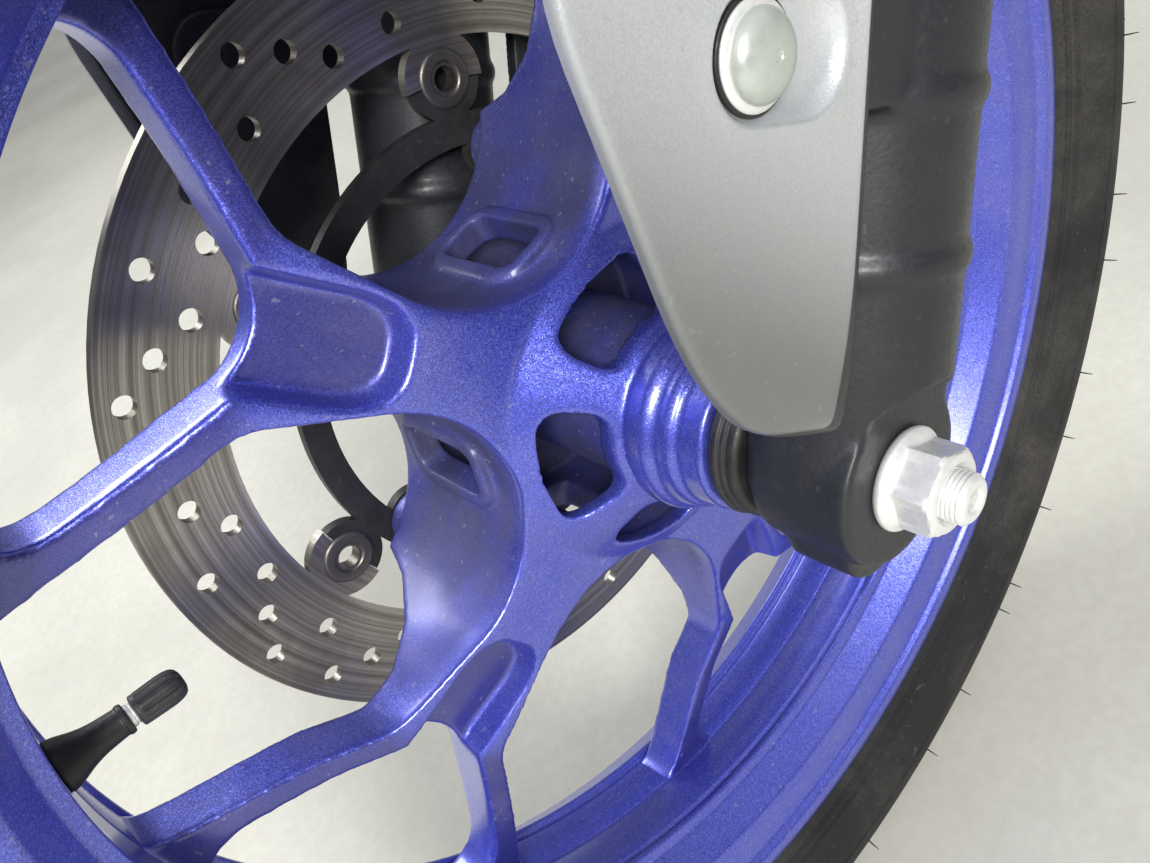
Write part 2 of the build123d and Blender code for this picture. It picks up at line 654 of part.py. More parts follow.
with BuildPart() as slider_right:
    add(slider_left.part)
    mirror(about=middle_plane, mode=Mode.REPLACE)
    # Lugs behind the leg that carry the caliper's bracket
    for place in bracket_bolt_places:
        with BuildSketch(fork_plane.offset(bracket_outer_face)):
            bar((slider_radius / 2, place[1]), place, bracket_lug_width)
        extrude(amount=-bracket_lug_thickness)
    with BuildSketch(leg_section(-leg_offset)):
        with Locations((0, bore_bottom)):
            Rectangle(stanchion_radius + stanchion_gap, slider_bore_depth + 1, align=(Align.MIN, Align.MIN))
    revolve(axis=leg_line(-leg_offset), mode=Mode.SUBTRACT)
    with BuildSketch(fork_plane.offset(bracket_outer_face + 1)):
        with Locations(*bracket_bolt_places):
            Circle(bracket_bolt_radius + bolt_gap)
    extrude(amount=-bracket_lug_thickness - 2, mode=Mode.SUBTRACT)

with BuildPart() as dust_seal_left:
    with BuildSketch(leg_section(leg_offset)):
        with BuildLine():
            lip = stanchion_radius + side_gap / 2
            Polyline((lip, fork_reach), (slider_top_radius - 1, fork_reach), (slider_top_radius - 1, fork_reach + 3),
                     (lip + 4, fork_reach + dust_seal_height), (lip, fork_reach + dust_seal_height), close=True)
        make_face()
    revolve(axis=leg_line(leg_offset))
with BuildPart() as dust_seal_right:
    add(dust_seal_left.part)
    mirror(about=middle_plane, mode=Mode.REPLACE)

with BuildPart() as guard_left:
    with BuildSketch(fork_plane.offset(guard_inner_face)):
        with BuildLine():
            FilletPolyline(*guard_outline, radius=guard_corner, close=True)
        make_face()
    extrude(amount=guard_thickness)
    chamfer(faces().sort_by(Axis.Y)[-1].edges(), length=guard_thickness * 0.4)
    with BuildSketch(fork_plane.offset(guard_inner_face + guard_thickness)):
        with Locations(*[(along + guard_dish_shift[0], up + guard_dish_shift[1]) for along, up in guard_bolt_places]):
            Circle(guard_dish_radius)
    extrude(amount=-guard_dish_depth, taper=45, mode=Mode.SUBTRACT)
    with BuildSketch(fork_plane.offset(guard_inner_face)):
        with Locations(*guard_bolt_places):
            Circle(guard_shank_radius + bolt_gap)
    extrude(amount=guard_thickness, mode=Mode.SUBTRACT)
with BuildPart() as guard_right:
    add(guard_left.part)
    mirror(about=middle_plane, mode=Mode.REPLACE)

dome_height = guard_bolt_dome - 1
dome_radius = (guard_bolt_radius ** 2 + dome_height ** 2) / (2 * dome_height)
dome_half_angle = asin(guard_bolt_radius / dome_radius) / 2
guard_bolt_seat = guard_inner_face + guard_thickness - guard_dish_depth
with BuildPart() as guard_bolts_left:
    for along, up in guard_bolt_places:
        centre = fork_plane.from_local_coords(Vector(along, up, guard_bolt_seat))
        with BuildSketch(Plane(origin=centre, x_dir=(-1, 0, 0), z_dir=(0, 0, -1))):
            with BuildLine():
                Polyline((0, guard_bolt_dome), (0, -stay_thickness), (guard_shank_radius, -stay_thickness),
                         (guard_shank_radius, 0), (guard_bolt_radius, 0), (guard_bolt_radius, 1))
                ThreePointArc((guard_bolt_radius, 1),
                              (dome_radius * sin(dome_half_angle), guard_bolt_dome - dome_radius * (1 - cos(dome_half_angle))),
                              (0, guard_bolt_dome))
            make_face()
        revolve(axis=Axis(centre, (0, 1, 0)))
with BuildPart() as guard_bolts_right:
    add(guard_bolts_left.part)
    mirror(about=middle_plane, mode=Mode.REPLACE)

with BuildPart() as mudguard:
    with BuildSketch(radial_section(mudguard_rear)):
        with BuildLine():
            skirt_end = mudguard_radius - mudguard_skirt
            outer_wall = [(skirt_end, mudguard_half_width), (mudguard_radius - mudguard_bevel, mudguard_half_width),
                          (mudguard_radius, mudguard_half_width - mudguard_bevel)]
            inner_bevel = mudguard_bevel + 0.4 * mudguard_thickness
            inner_wall_line = [(skirt_end, mudguard_half_width - mudguard_thickness),
                               (mudguard_radius - inner_bevel, mudguard_half_width - mudguard_thickness),
                               (mudguard_radius - mudguard_thickness, mudguard_half_width - inner_bevel)]
            crown = mudguard_radius + mudguard_crown
            Polyline(*outer_wall)
            Polyline(*[(radius, -height) for radius, height in outer_wall])
            ThreePointArc(outer_wall[-1], (crown, 0), (mudguard_radius, -outer_wall[-1][1]))
            Polyline(*inner_wall_line)
            Polyline(*[(radius, -height) for radius, height in inner_wall_line])
            ThreePointArc(inner_wall_line[-1], (crown - mudguard_thickness, 0),
                          (inner_wall_line[-1][0], -inner_wall_line[-1][1]))
            Line(outer_wall[0], inner_wall_line[0])
            Line((skirt_end, -mudguard_half_width), (skirt_end, mudguard_thickness - mudguard_half_width))
        make_face()
    revolve(axis=axle_line, revolution_arc=mudguard_front - mudguard_rear)
    # Ears that reach down to the sliders
    for start in (mudguard_half_width - mudguard_thickness, -mudguard_half_width):
        with BuildSketch(fork_plane.offset(start)):
            with BuildLine():
                ear_low = ear_boss_place[1] - ear_boss_radius - ear_border
                ear_half = ear_boss_radius + ear_border
                FilletPolyline((ear_boss_place[0] - 2 * ear_half, ear_top), (ear_boss_place[0] - ear_half, ear_low),
                               (ear_boss_place[0] + ear_half, ear_low), (ear_boss_place[0] + 1.5 * ear_half, ear_top),
                               radius=ear_half / 2, close=True)
            make_face()
        extrude(amount=mudguard_thickness)

# The caliper's own plane: first direction radial through its middle, second along the disc's run
caliper_frame = Plane(origin=wheel_centre, x_dir=radial_section(caliper_angle).x_dir, z_dir=(0, 1, 0))
slot_half = disc_thickness / 2 + pad_gap + pad_thickness + backing_thickness
with BuildPart() as caliper_bracket:
    with BuildSketch(caliper_frame.offset(bracket_outer_face)):
        bolts = [caliper_frame.to_local_coords(fork_plane.from_local_coords(Vector(*place, 0)))
                 for place in bracket_bolt_places]
        lower, upper = [(bolt.X, bolt.Y) for bolt in bolts]
        heel = (bracket_arm_radius, -slide_pin_offset)
        bar(lower, upper, bracket_arm_width)
        bar(upper, (caliper_radius, slide_pin_offset), bracket_arm_width)
        bar(lower, heel, bracket_arm_width)
        bar(heel, (caliper_radius, -slide_pin_offset), bracket_arm_width)
        with Locations(lower, upper):
            Circle(bracket_bolt_radius + bolt_gap, mode=Mode.SUBTRACT)
    extrude(amount=bracket_thickness)

with BuildPart() as caliper_body:
    with BuildSketch(caliper_frame.offset(-caliper_outer_face)):
        with Locations((caliper_middle, 0)):
            RectangleRounded(caliper_depth, caliper_length, caliper_corner)
    extrude(amount=caliper_outer_face - caliper_inner_face)
    with BuildSketch(caliper_frame.offset(-caliper_outer_face)):
        bar((caliper_radius, -slide_pin_offset), (caliper_radius, slide_pin_offset), caliper_ear_width)
    extrude(amount=caliper_ear_thickness)
    with BuildSketch(caliper_frame.offset(-disc_plane - slot_half)):
        with Locations((0, 0)):
            Rectangle(disc_radius + disc_clearance, 2 * (slide_pin_offset + caliper_ear_width), align=(Align.MIN, Align.CENTER))
        with Locations((disc_radius, 0)):
            Rectangle(caliper_depth, pad_window, align=(Align.MIN, Align.CENTER))
    extrude(amount=2 * slot_half, mode=Mode.SUBTRACT)
    with BuildSketch(caliper_frame.offset(-caliper_outer_face)):
        with Locations((pad_pin_radial, pad_pin_offset), (pad_pin_radial, -pad_pin_offset)):
            Circle(pad_pin_radius + bolt_gap)
        with Locations((caliper_radius, slide_pin_offset), (caliper_radius, -slide_pin_offset)):
            Circle(slide_pin_radius + bolt_gap)
    extrude(amount=caliper_outer_face - caliper_inner_face, mode=Mode.SUBTRACT)

with BuildPart() as caliper_pins:
    with BuildSketch(caliper_frame.offset(-caliper_outer_face)):
        with Locations((pad_pin_radial, pad_pin_offset), (pad_pin_radial, -pad_pin_offset)):
            Circle(pad_pin_radius)
    extrude(amount=caliper_outer_face - caliper_inner_face)
    with BuildSketch(caliper_frame.offset(bracket_outer_face)):
        with Locations((caliper_radius, slide_pin_offset), (caliper_radius, -slide_pin_offset)):
            Circle(slide_pin_radius)
    extrude(amount=-caliper_outer_face - bracket_outer_face)

for direction in (1, -1):
    with BuildPart() as brake_pad:
        backing_start = -disc_plane + direction * (slot_half - backing_thickness)
        with BuildSketch(caliper_frame.offset(backing_start)):
            with Locations((caliper_radius, 0)):
                RectangleRounded(pad_height + 4, pad_length + 4, 4)
            with Locations((caliper_radius, 0)):
                Rectangle(pad_pin_radial + pad_pin_radius + 3 - caliper_radius, pad_window - 2,
                          align=(Align.MIN, Align.CENTER))
            with Locations((pad_pin_radial, pad_pin_offset), (pad_pin_radial, -pad_pin_offset)):
                Circle(pad_pin_radius + bolt_gap, mode=Mode.SUBTRACT)
        extrude(amount=direction * backing_thickness)
        with BuildSketch(caliper_frame.offset(backing_start - direction * pad_thickness)):
            with Locations((caliper_radius, 0)):
                RectangleRounded(pad_height, pad_length, 4)
        extrude(amount=direction * pad_thickness)
    if direction == 1:
        brake_pad_inner = brake_pad
    else:
        brake_pad_outer = brake_pad

with BuildPart() as bracket_bolts:
    with BuildSketch(fork_plane.offset(bracket_outer_face - bracket_lug_thickness)):
        with Locations(*bracket_bolt_places):
            RegularPolygon(bracket_bolt_radius * 1.6, 6, major_radius=False)
    extrude(amount=-bracket_bolt_radius)
    with BuildSketch(fork_plane.offset(bracket_outer_face - bracket_lug_thickness)):
        with Locations(*bracket_bolt_places):
            Circle(bracket_bolt_radius)
    extrude(amount=bracket_lug_thickness + bracket_thickness)

valve_section = radial_section(valve_angle)
valve_line = Axis(wheel_centre, valve_section.x_dir)
with BuildPart() as valve_stem:
    with BuildSketch(valve_section):
        with BuildLine():
            neck = barrel_radius - side_gap
            stem_end = barrel_radius - valve_rubber_length
            Polyline((rim_well_radius + 3, 0), (rim_well_radius + 3, valve_foot_radius - 2),
                     (rim_well_radius, valve_foot_radius), (rim_well_radius, valve_hole_radius - bolt_gap),
                     (neck, valve_hole_radius - bolt_gap), (neck, valve_foot_radius - 1), (neck - 5, valve_foot_radius - 1.5),
                     (stem_end, valve_cap_radius + 1), (stem_end, 0), close=True)
        make_face()
    revolve(axis=valve_line)
with BuildPart() as valve_collar:
    with BuildSketch(valve_section):
        with BuildLine():
            cap_start = valve_tip_reach + valve_cap_length
            Polyline((stem_end, 0), (stem_end, valve_cap_radius), (stem_end - 2, valve_cap_radius),
                     (stem_end - 2, valve_thread_radius), (valve_tip_reach + 4, valve_thread_radius),
                     (valve_tip_reach + 4, 0), close=True)
        make_face()
    revolve(axis=valve_line)
with BuildPart() as valve_cap:
    with BuildSketch(valve_section):
        with BuildLine():
            Polyline((stem_end - 2.5, valve_thread_radius + bolt_gap), (stem_end - 2.5, valve_cap_radius),
                     (valve_tip_reach + 1.5, valve_cap_radius), (valve_tip_reach, valve_cap_radius - 1.5), (valve_tip_reach, 0),
                     (valve_tip_reach + 4 - bolt_gap, 0), (valve_tip_reach + 4 - bolt_gap, valve_thread_radius + bolt_gap),
                     close=True)
        make_face()
    revolve(axis=valve_line)

pieces = {
    "wheel_casting": wheel_casting,
    "tyre": tyre,
    "disc_rotor": disc_rotor,
    "disc_carrier": disc_carrier,
    "disc_bobbins": disc_bobbins,
    "disc_bolts": disc_bolts,
    "bearing_left": hub_bearings[0],
    "bearing_right": hub_bearings[1],
    "hub_seal_left": hub_seals[0],
    "hub_seal_right": hub_seals[1],
    "valve_stem": valve_stem,
    "valve_collar": valve_collar,
    "valve_cap": valve_cap,
    "spacer_left": spacer_left,
    "spacer_right": spacer_right,
    "axle": axle,
    "axle_nut": axle_nut,
    "slider_left": slider_left,
    "slider_right": slider_right,
    "dust_seal_left": dust_seal_left,
    "dust_seal_right": dust_seal_right,
    "guard_left": guard_left,
    "guard_right": guard_right,
    "guard_bolts_left": guard_bolts_left,
    "guard_bolts_right": guard_bolts_right,
    "mudguard": mudguard,
    "caliper_bracket": caliper_bracket,
    "caliper_body": caliper_body,
    "caliper_pins": caliper_pins,
    "brake_pad_inner": brake_pad_inner,
    "brake_pad_outer": brake_pad_outer,
    "bracket_bolts": bracket_bolts,
}

os.makedirs("parts", exist_ok=True)
for name, piece in pieces.items():
    piece.part.label = name
    export_step(piece.part, f"parts/{name}.step")
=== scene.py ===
import json
from math import cos, hypot, pi, radians, sin, sqrt

import bmesh
import bpy
from mathutils import Matrix, Vector
from mathutils.geometry import delaunay_2d_cdt


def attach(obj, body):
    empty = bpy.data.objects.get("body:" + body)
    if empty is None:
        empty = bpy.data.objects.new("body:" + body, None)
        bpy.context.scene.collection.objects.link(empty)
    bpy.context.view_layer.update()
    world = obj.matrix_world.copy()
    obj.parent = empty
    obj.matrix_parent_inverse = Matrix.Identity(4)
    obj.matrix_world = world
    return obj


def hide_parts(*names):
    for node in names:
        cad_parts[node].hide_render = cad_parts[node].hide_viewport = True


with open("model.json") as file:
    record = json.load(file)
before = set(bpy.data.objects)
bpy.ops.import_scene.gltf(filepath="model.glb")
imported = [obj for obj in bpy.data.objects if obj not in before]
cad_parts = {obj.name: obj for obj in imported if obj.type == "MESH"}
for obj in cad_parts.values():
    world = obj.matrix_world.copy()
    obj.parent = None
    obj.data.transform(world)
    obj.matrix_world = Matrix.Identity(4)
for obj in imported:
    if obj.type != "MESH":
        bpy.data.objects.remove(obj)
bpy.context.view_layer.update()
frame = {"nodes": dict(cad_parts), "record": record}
nodes = frame["nodes"]
scene = bpy.context.scene

# The frame is in metres. Outlines and places on a piece are in millimetres, times MM.
MM = 0.001
RAKE = radians(25)
AXLE_REACH, LEG_OFFSET = 0.350, 0.095
WHEEL_CENTRE = Vector((AXLE_REACH * sin(RAKE), -LEG_OFFSET, -AXLE_REACH * cos(RAKE)))
LEFT = Vector((0, 1, 0))
REARWARD = Vector((-cos(RAKE), 0, -sin(RAKE)))
UPWARD = Vector((-sin(RAKE), 0, cos(RAKE)))
TYRE_RADIUS = 293.0
FLOOR_GAP = 0.0002
FLOOR_HEIGHT = WHEEL_CENTRE.z - TYRE_RADIUS * MM - FLOOR_GAP


# Places on the wheel and on the fork. Both count sideways from the wheel's middle.
def on_wheel(radius, angle, out):
    """By radius and by angle in degrees, counted from the rear over the top."""
    a = radians(angle)
    return WHEEL_CENTRE + Vector((-radius * cos(a), out, radius * sin(a))) * MM


def on_fork(behind, up, out):
    """By the distance behind the sliders' centre lines and along them."""
    return WHEEL_CENTRE + (REARWARD * behind + UPWARD * up + LEFT * out) * MM


# The camera, fitted to the photograph: its place from the wheel's centre and the ways it faces
CAMERA_PLACE = Vector((143.63, 236.18, 198.76))
CAMERA_RIGHT = Vector((-0.65532, 0.6610, -0.36545))
CAMERA_AHEAD = Vector((-0.36643, -0.7014, -0.6114))
SENSOR_WIDTH, FOCAL_LENGTH = 36, 31.13


def place_camera():
    camera = bpy.data.objects.new("camera", bpy.data.cameras.new("camera"))
    scene.collection.objects.link(camera)
    right = CAMERA_RIGHT.normalized()
    ahead = CAMERA_AHEAD.normalized()
    ahead = (ahead - right * ahead.dot(right)).normalized()
    turn = Matrix((right, right.cross(ahead), -ahead)).transposed().to_4x4()
    camera.matrix_world = Matrix.Translation(WHEEL_CENTRE + CAMERA_PLACE * MM) @ turn
    camera.data.sensor_fit = "HORIZONTAL"
    camera.data.sensor_width = SENSOR_WIDTH
    camera.data.lens = FOCAL_LENGTH
    camera.data.clip_start = 0.01
    scene.camera = camera


place_camera()

# Mesh helpers
SAME_POINT, NO_LENGTH = 1e-6, 1e-7
LARGEST_CUT = 0.48


def new_object(name, data):
    made = bpy.data.objects.new(name, data)
    scene.collection.objects.link(made)
    return made


def closed_mesh(name, verts, faces, crease=32):
    """An object of points in metres: doubles merged, faces outwards and creases sharp."""
    mesh = bpy.data.meshes.new(name)
    mesh.from_pydata(verts, [], faces)
    work = bmesh.new()
    work.from_mesh(mesh)
    bmesh.ops.remove_doubles(work, verts=work.verts, dist=SAME_POINT)
    bmesh.ops.dissolve_degenerate(work, edges=work.edges, dist=NO_LENGTH)
    bmesh.ops.recalc_face_normals(work, faces=work.faces)
    work.to_mesh(mesh)
    work.free()
    mesh.shade_smooth()
    mesh.set_sharp_from_angle(angle=radians(crease))
    return new_object(name, mesh)


def settle(piece):
    """Turns a piece with modifiers into a plain mesh."""
    evaluated = piece.evaluated_get(bpy.context.evaluated_depsgraph_get())
    mesh = bpy.data.meshes.new_from_object(evaluated)
    piece.modifiers.clear()
    piece.data = mesh
    return piece


def join(name, *pieces):
    """Several objects as one mesh."""
    work = bmesh.new()
    for piece in pieces:
        work.from_mesh(piece.data)
        bpy.data.objects.remove(piece)
    mesh = bpy.data.meshes.new(name)
    work.to_mesh(mesh)
    work.free()
    return new_object(name, mesh)


def soften(points, steps=4, closed=False):
    """An outline with rounded corners, where a point's third number is the length cut off there."""
    made = []
    count = len(points)
    for index, point in enumerate(points):
        here = Vector(point[:2])
        if len(point) == 2 or (not closed and index in (0, count - 1)):
            made.append(here)
            continue
        before = Vector(points[index - 1][:2]) - here
        after = Vector(points[(index + 1) % count][:2]) - here
        start = here + before * min(point[2] / before.length, LARGEST_CUT)
        end = here + after * min(point[2] / after.length, LARGEST_CUT)
        for step in range(steps + 1):
            t = step / steps
            made.append(start * (1 - t) ** 2 + here * 2 * t * (1 - t) + end * t * t)
    return made


def lathe(name, outline, origin=WHEEL_CENTRE, axis=LEFT, segments=96, ring=False, crease=32,
          shape=None):
    """Turns an outline of (radius, height) points about an axis.

    A ring's outline closes on itself. A shape changes a radius by its height and angle.
    """
    axis = axis.normalized()
    side = REARWARD if abs(axis.dot(LEFT)) > 0.9 else axis.orthogonal().normalized()
    other = side.cross(axis)
    verts, faces = [], []
    count = len(outline)
    for turn in range(segments):
        angle = 2 * pi * turn / segments
        out = side * cos(angle) + other * sin(angle)
        for radius, height in outline:
            reach = shape(radius, height, angle) if shape else radius
            verts.append(origin + (out * reach + axis * height) * MM)
    for turn in range(segments):
        here, there = turn * count, (turn + 1) % segments * count
        for index in range(count if ring else count - 1):
            after = (index + 1) % count
            faces.append((here + index, there + index, there + after, here + after))
    return closed_mesh(name, verts, faces, crease)


def cast(name, node, voxel, rounds, triangles, within=None):
    """A CAD node with its edges rounded like a casting's.

    A voxel remesh, rounds of smoothing, then fewer triangles. Within is an object that bounds it.
    """
    piece = new_object(name, nodes[node].data.copy())
    work = bmesh.new()
    work.from_mesh(piece.data)
    bmesh.ops.remove_doubles(work, verts=work.verts, dist=SAME_POINT)
    work.to_mesh(piece.data)
    work.free()
    if within:
        cut = piece.modifiers.new("cut", "BOOLEAN")
        cut.operation = "INTERSECT"
        cut.solver = "EXACT"
        cut.object = within
        settle(piece)
        bpy.data.objects.remove(within)
    remesh = piece.modifiers.new("voxels", "REMESH")
    remesh.mode = "VOXEL"
    remesh.voxel_size = voxel * MM
    smooth = piece.modifiers.new("smooth", "SMOOTH")
    smooth.factor = 0.5
    smooth.iterations = rounds
    settle(piece)
    many = sum(len(face.vertices) - 2 for face in piece.data.polygons)
    if many > triangles:
        fewer = piece.modifiers.new("fewer", "DECIMATE")
        fewer.ratio = triangles / many
        settle(piece)
    piece.data.shade_smooth()
    return piece


# Geometry Nodes that repeat a piece round the axle
def ring_tree():
    """Copies the mesh that comes in round a centre, by even steps or with some chance in each."""
    tree = bpy.data.node_groups.new("ring of copies", "GeometryNodeTree")
    for socket, kind in (("Geometry", "Geometry"), ("Count", "Int"), ("Step", "Float"),
                         ("Centre", "Vector"), ("Chance", "Float"), ("Seed", "Int"),
                         ("Finish", "Material")):
        tree.interface.new_socket(socket, in_out="INPUT", socket_type="NodeSocket" + kind)
    tree.interface.new_socket("Geometry", in_out="OUTPUT", socket_type="NodeSocketGeometry")
    node, link = tree.nodes.new, tree.links.new

    def calculate(operation, a, b):
        made = node("ShaderNodeMath")
        made.operation = operation
        link(a, made.inputs[0])
        link(b, made.inputs[1])
        return made.outputs[0]

    start, end = node("NodeGroupInput"), node("NodeGroupOutput")
    line = node("GeometryNodeMeshLine")
    line.inputs["Offset"].default_value = (0, 0, 0)
    link(start.outputs["Count"], line.inputs["Count"])
    copies = node("GeometryNodeInstanceOnPoints")
    link(line.outputs[0], copies.inputs["Points"])
    link(start.outputs["Geometry"], copies.inputs["Instance"])
    index = node("GeometryNodeInputIndex")
    chance = node("FunctionNodeRandomValue")
    chance.data_type = "FLOAT"
    link(start.outputs["Seed"], chance.inputs["Seed"])
    spread = calculate("MULTIPLY", chance.outputs[1], start.outputs["Chance"])
    steps = calculate("ADD", index.outputs[0], spread)
    turn = node("ShaderNodeCombineXYZ")
    link(calculate("MULTIPLY", steps, start.outputs["Step"]), turn.inputs["Y"])
    rotate = node("GeometryNodeRotateInstances")
    rotate.inputs["Local Space"].default_value = False
    link(copies.outputs[0], rotate.inputs["Instances"])
    link(turn.outputs[0], rotate.inputs["Rotation"])
    link(start.outputs["Centre"], rotate.inputs["Pivot Point"])
    real = node("GeometryNodeRealizeInstances")
    link(rotate.outputs[0], real.inputs[0])
    finish = node("GeometryNodeSetMaterial")
    link(real.outputs[0], finish.inputs["Geometry"])
    link(start.outputs["Finish"], finish.inputs["Material"])
    link(finish.outputs[0], end.inputs[0])
    return tree


RING_TREE = ring_tree()


def repeat(piece, count, finish, chance=0.0, seed=1):
    """Repeats a piece round the axle by the tree above, and leaves a plain mesh."""
    ring = piece.modifiers.new("ring", "NODES")
    ring.node_group = RING_TREE
    sockets = {item.name: item.identifier for item in RING_TREE.interface.items_tree
               if item.in_out == "INPUT"}
    for name, value in (("Count", count), ("Step", radians(360 / count)),
                        ("Centre", tuple(WHEEL_CENTRE)), ("Chance", chance), ("Seed", seed),
                        ("Finish", finish)):
        ring[sockets[name]] = value
    return settle(piece)


# Shader helpers
class Shader:
    """A material, a world or a node group that is being wired."""

    def __init__(self, tree):
        self.tree = tree
        self.nodes = tree.nodes
        self.links = tree.links

    def node(self, kind, **values):
        made = self.nodes.new("ShaderNode" + kind)
        for name, value in values.items():
            setattr(made, name, value)
        return made

    def set(self, made, **inputs):
        """Links or sets a node's inputs, by name or by number, as in i0."""
        for name, value in inputs.items():
            numbered = name[0] == "i" and name[1:].isdigit()
            key = int(name[1:]) if numbered else name.replace("_", " ")
            if isinstance(value, bpy.types.NodeSocket):
                self.links.new(value, made.inputs[key])
            else:
                made.inputs[key].default_value = value
        return made

    def noise(self, vector, scale, detail=3.0, rough=0.55, distortion=0.0):
        made = self.node("TexNoise")
        return self.set(made, Vector=vector, Scale=scale, Detail=detail, Roughness=rough,
                        Distortion=distortion).outputs[0]

    def ramp(self, value, low, high, start=0.0, end=1.0):
        """Goes softly from start to end while the value goes from low to high."""
        made = self.node("MapRange", interpolation_type="SMOOTHSTEP")
        return self.set(made, i0=value, i1=low, i2=high, i3=start, i4=end).outputs[0]

    def math(self, operation, a, b=0.0, c=0.0):
        made = self.node("Math", operation=operation)
        return self.set(made, i0=a, i1=b, i2=c).outputs[0]

    def mix(self, factor, a, b):
        made = self.node("Mix", data_type="RGBA")
        return self.set(made, i0=factor, i6=a, i7=b).outputs[2]

    def mapping(self, vector, **inputs):
        return self.set(self.node("Mapping"), Vector=vector, **inputs).outputs[0]

    def split(self, vector):
        return self.set(self.node("SeparateXYZ"), Vector=vector).outputs

    def surface_normal(self):
        return self.node("NewGeometry").outputs["Normal"]


def colour(r, g, b):
    return (r, g, b, 1.0)


def new_group(name, inputs, outputs):
    """A shader group's wiring helper with its input and output nodes."""
    tree = bpy.data.node_groups.new(name, "ShaderNodeTree")
    for socket, kind, default in inputs:
        made = tree.interface.new_socket(socket, in_out="INPUT", socket_type="NodeSocket" + kind)
        if default is not None:
            made.default_value = default
    for socket, kind in outputs:
        tree.interface.new_socket(socket, in_out="OUTPUT", socket_type="NodeSocket" + kind)
    return Shader(tree), tree.nodes.new("NodeGroupInput").outputs, tree.nodes.new("NodeGroupOutput")


def fine_grain():
    """Fine surface grain: a value that varies from point to point and the normal of its bumps."""
    g, given, end = new_group(
        "fine grain",
        [("Vector", "Vector", None), ("Scale", "Float", 900.0), ("Depth", "Float", 0.1)],
        [("Value", "Float"), ("Normal", "Vector")])
    noise = g.noise(given["Vector"], given["Scale"], 4.0, 0.6)
    bump = g.set(g.node("Bump"), Strength=given["Depth"], Distance=0.0004, Height=noise)
    g.set(end, Value=noise, Normal=bump.outputs[0])
    return g.tree


def paint_flakes():
    """Metal flakes in paint: small cells, each with its own brightness and its own tilt."""
    g, given, end = new_group(
        "paint flakes",
        [("Vector", "Vector", None), ("Scale", "Float", 2200.0), ("Tilt", "Float", 0.25)],
        [("Value", "Float"), ("Sparkle", "Float"), ("Normal", "Vector")])
    cells = g.set(g.node("TexVoronoi"), Vector=given["Vector"], Scale=given["Scale"])
    chance = cells.outputs["Color"]
    centred = g.set(g.node("VectorMath", operation="SUBTRACT"), i0=chance, i1=(0.5, 0.5, 0.5))
    tilted = g.set(g.node("VectorMath", operation="SCALE"), i0=centred.outputs[0],
                   Scale=given["Tilt"])
    added = g.set(g.node("VectorMath", operation="ADD"), i0=g.surface_normal(),
                  i1=tilted.outputs[0])
    unit = g.set(g.node("VectorMath", operation="NORMALIZE"), i0=added.outputs[0])
    red, green, _ = g.set(g.node("SeparateColor"), i0=chance).outputs
    g.set(end, Value=red, Sparkle=g.ramp(green, 0.9, 0.97), Normal=unit.outputs[0])
    return g.tree


def road_dust():
    """Dust that lies in patches, with single specks of it: a mask."""
    g, given, end = new_group(
        "road dust",
        [("Vector", "Vector", None), ("Scale", "Float", 30.0), ("Amount", "Float", 0.5),
         ("Specks", "Float", 0.3)],
        [("Mask", "Float")])
    broad = g.noise(given["Vector"], given["Scale"], 6.0, 0.65, 0.4)
    fine = g.noise(given["Vector"], 900.0, 2.0, 0.5)
    patches = g.math("MULTIPLY", g.ramp(broad, 0.40, 0.72), g.ramp(fine, 0.3, 0.62, 0.45, 1.0))
    single = g.noise(given["Vector"], 420.0, 1.0, 0.5)
    specks = g.math("MULTIPLY", g.ramp(single, 0.70, 0.76), given["Specks"])
    g.set(end, Mask=g.math("MAXIMUM", g.math("MULTIPLY", patches, given["Amount"]), specks))
    return g.tree


def facing_up():
    """How far a surface looks up, where dust settles: a mask."""
    g, given, end = new_group("facing up", [("Low", "Float", 0.0), ("High", "Float", 1.0)],
                              [("Mask", "Float")])
    _, _, upward = g.split(g.surface_normal())
    g.set(end, Mask=g.ramp(upward, given["Low"], given["High"]))
    return g.tree


GRAIN, FLAKES, DUST, UPWARDS = fine_grain(), paint_flakes(), road_dust(), facing_up()


class Finish(Shader):
    """A material with one Principled shader, on Object coordinates."""

    def __init__(self, name, **inputs):
        self.material = bpy.data.materials.new(name)
        self.material.use_nodes = True
        super().__init__(self.material.node_tree)
        self.shader = self.nodes["Principled BSDF"]
        self.place = self.node("TexCoord").outputs["Object"]
        self.centred = self.mapping(self.place, Location=tuple(-WHEEL_CENTRE))
        self.set(self.shader, **inputs)

    def group(self, tree, **inputs):
        """Places a group, on Object coordinates where it takes a vector."""
        made = self.node("Group")
        made.node_tree = tree
        if "Vector" in made.inputs:
            inputs["Vector"] = self.place
        return self.set(made, **inputs).outputs

    def from_axle(self):
        """Radius from the axle's line and distance to the left of the wheel's middle, in metres."""
        ahead, left, up = self.split(self.centred)
        squares = self.math("ADD", self.math("POWER", ahead, 2.0), self.math("POWER", up, 2.0))
        return self.math("SQRT", squares), left

    def out(self, **inputs):
        self.set(self.shader, **inputs)
        return self.material


# The height of the spokes' outer faces: slope by radius and value at the axle, in metres.
# Near the hub they lie on the first cone, and farther out on the second.
FACE_CONES = ((-0.656, 0.0581), (-0.11, 0.0263))
DEEP_BLUE, BRIGHT_BLUE = colour(0.052, 0.050, 0.40), colour(0.100, 0.135, 0.72)
# The recess blue is painted shade, for faces sunk below the spokes' faces.
SPARK_BLUE, PAINTED_SHADE_BLUE = colour(0.36, 0.48, 1.0), colour(0.026, 0.024, 0.20)
# The grey film near the hub is partly dust and partly painted shade.
DARK_FILM_AND_SHADE, PALE_SPECKS = colour(0.046, 0.045, 0.088), colour(0.36, 0.35, 0.46)


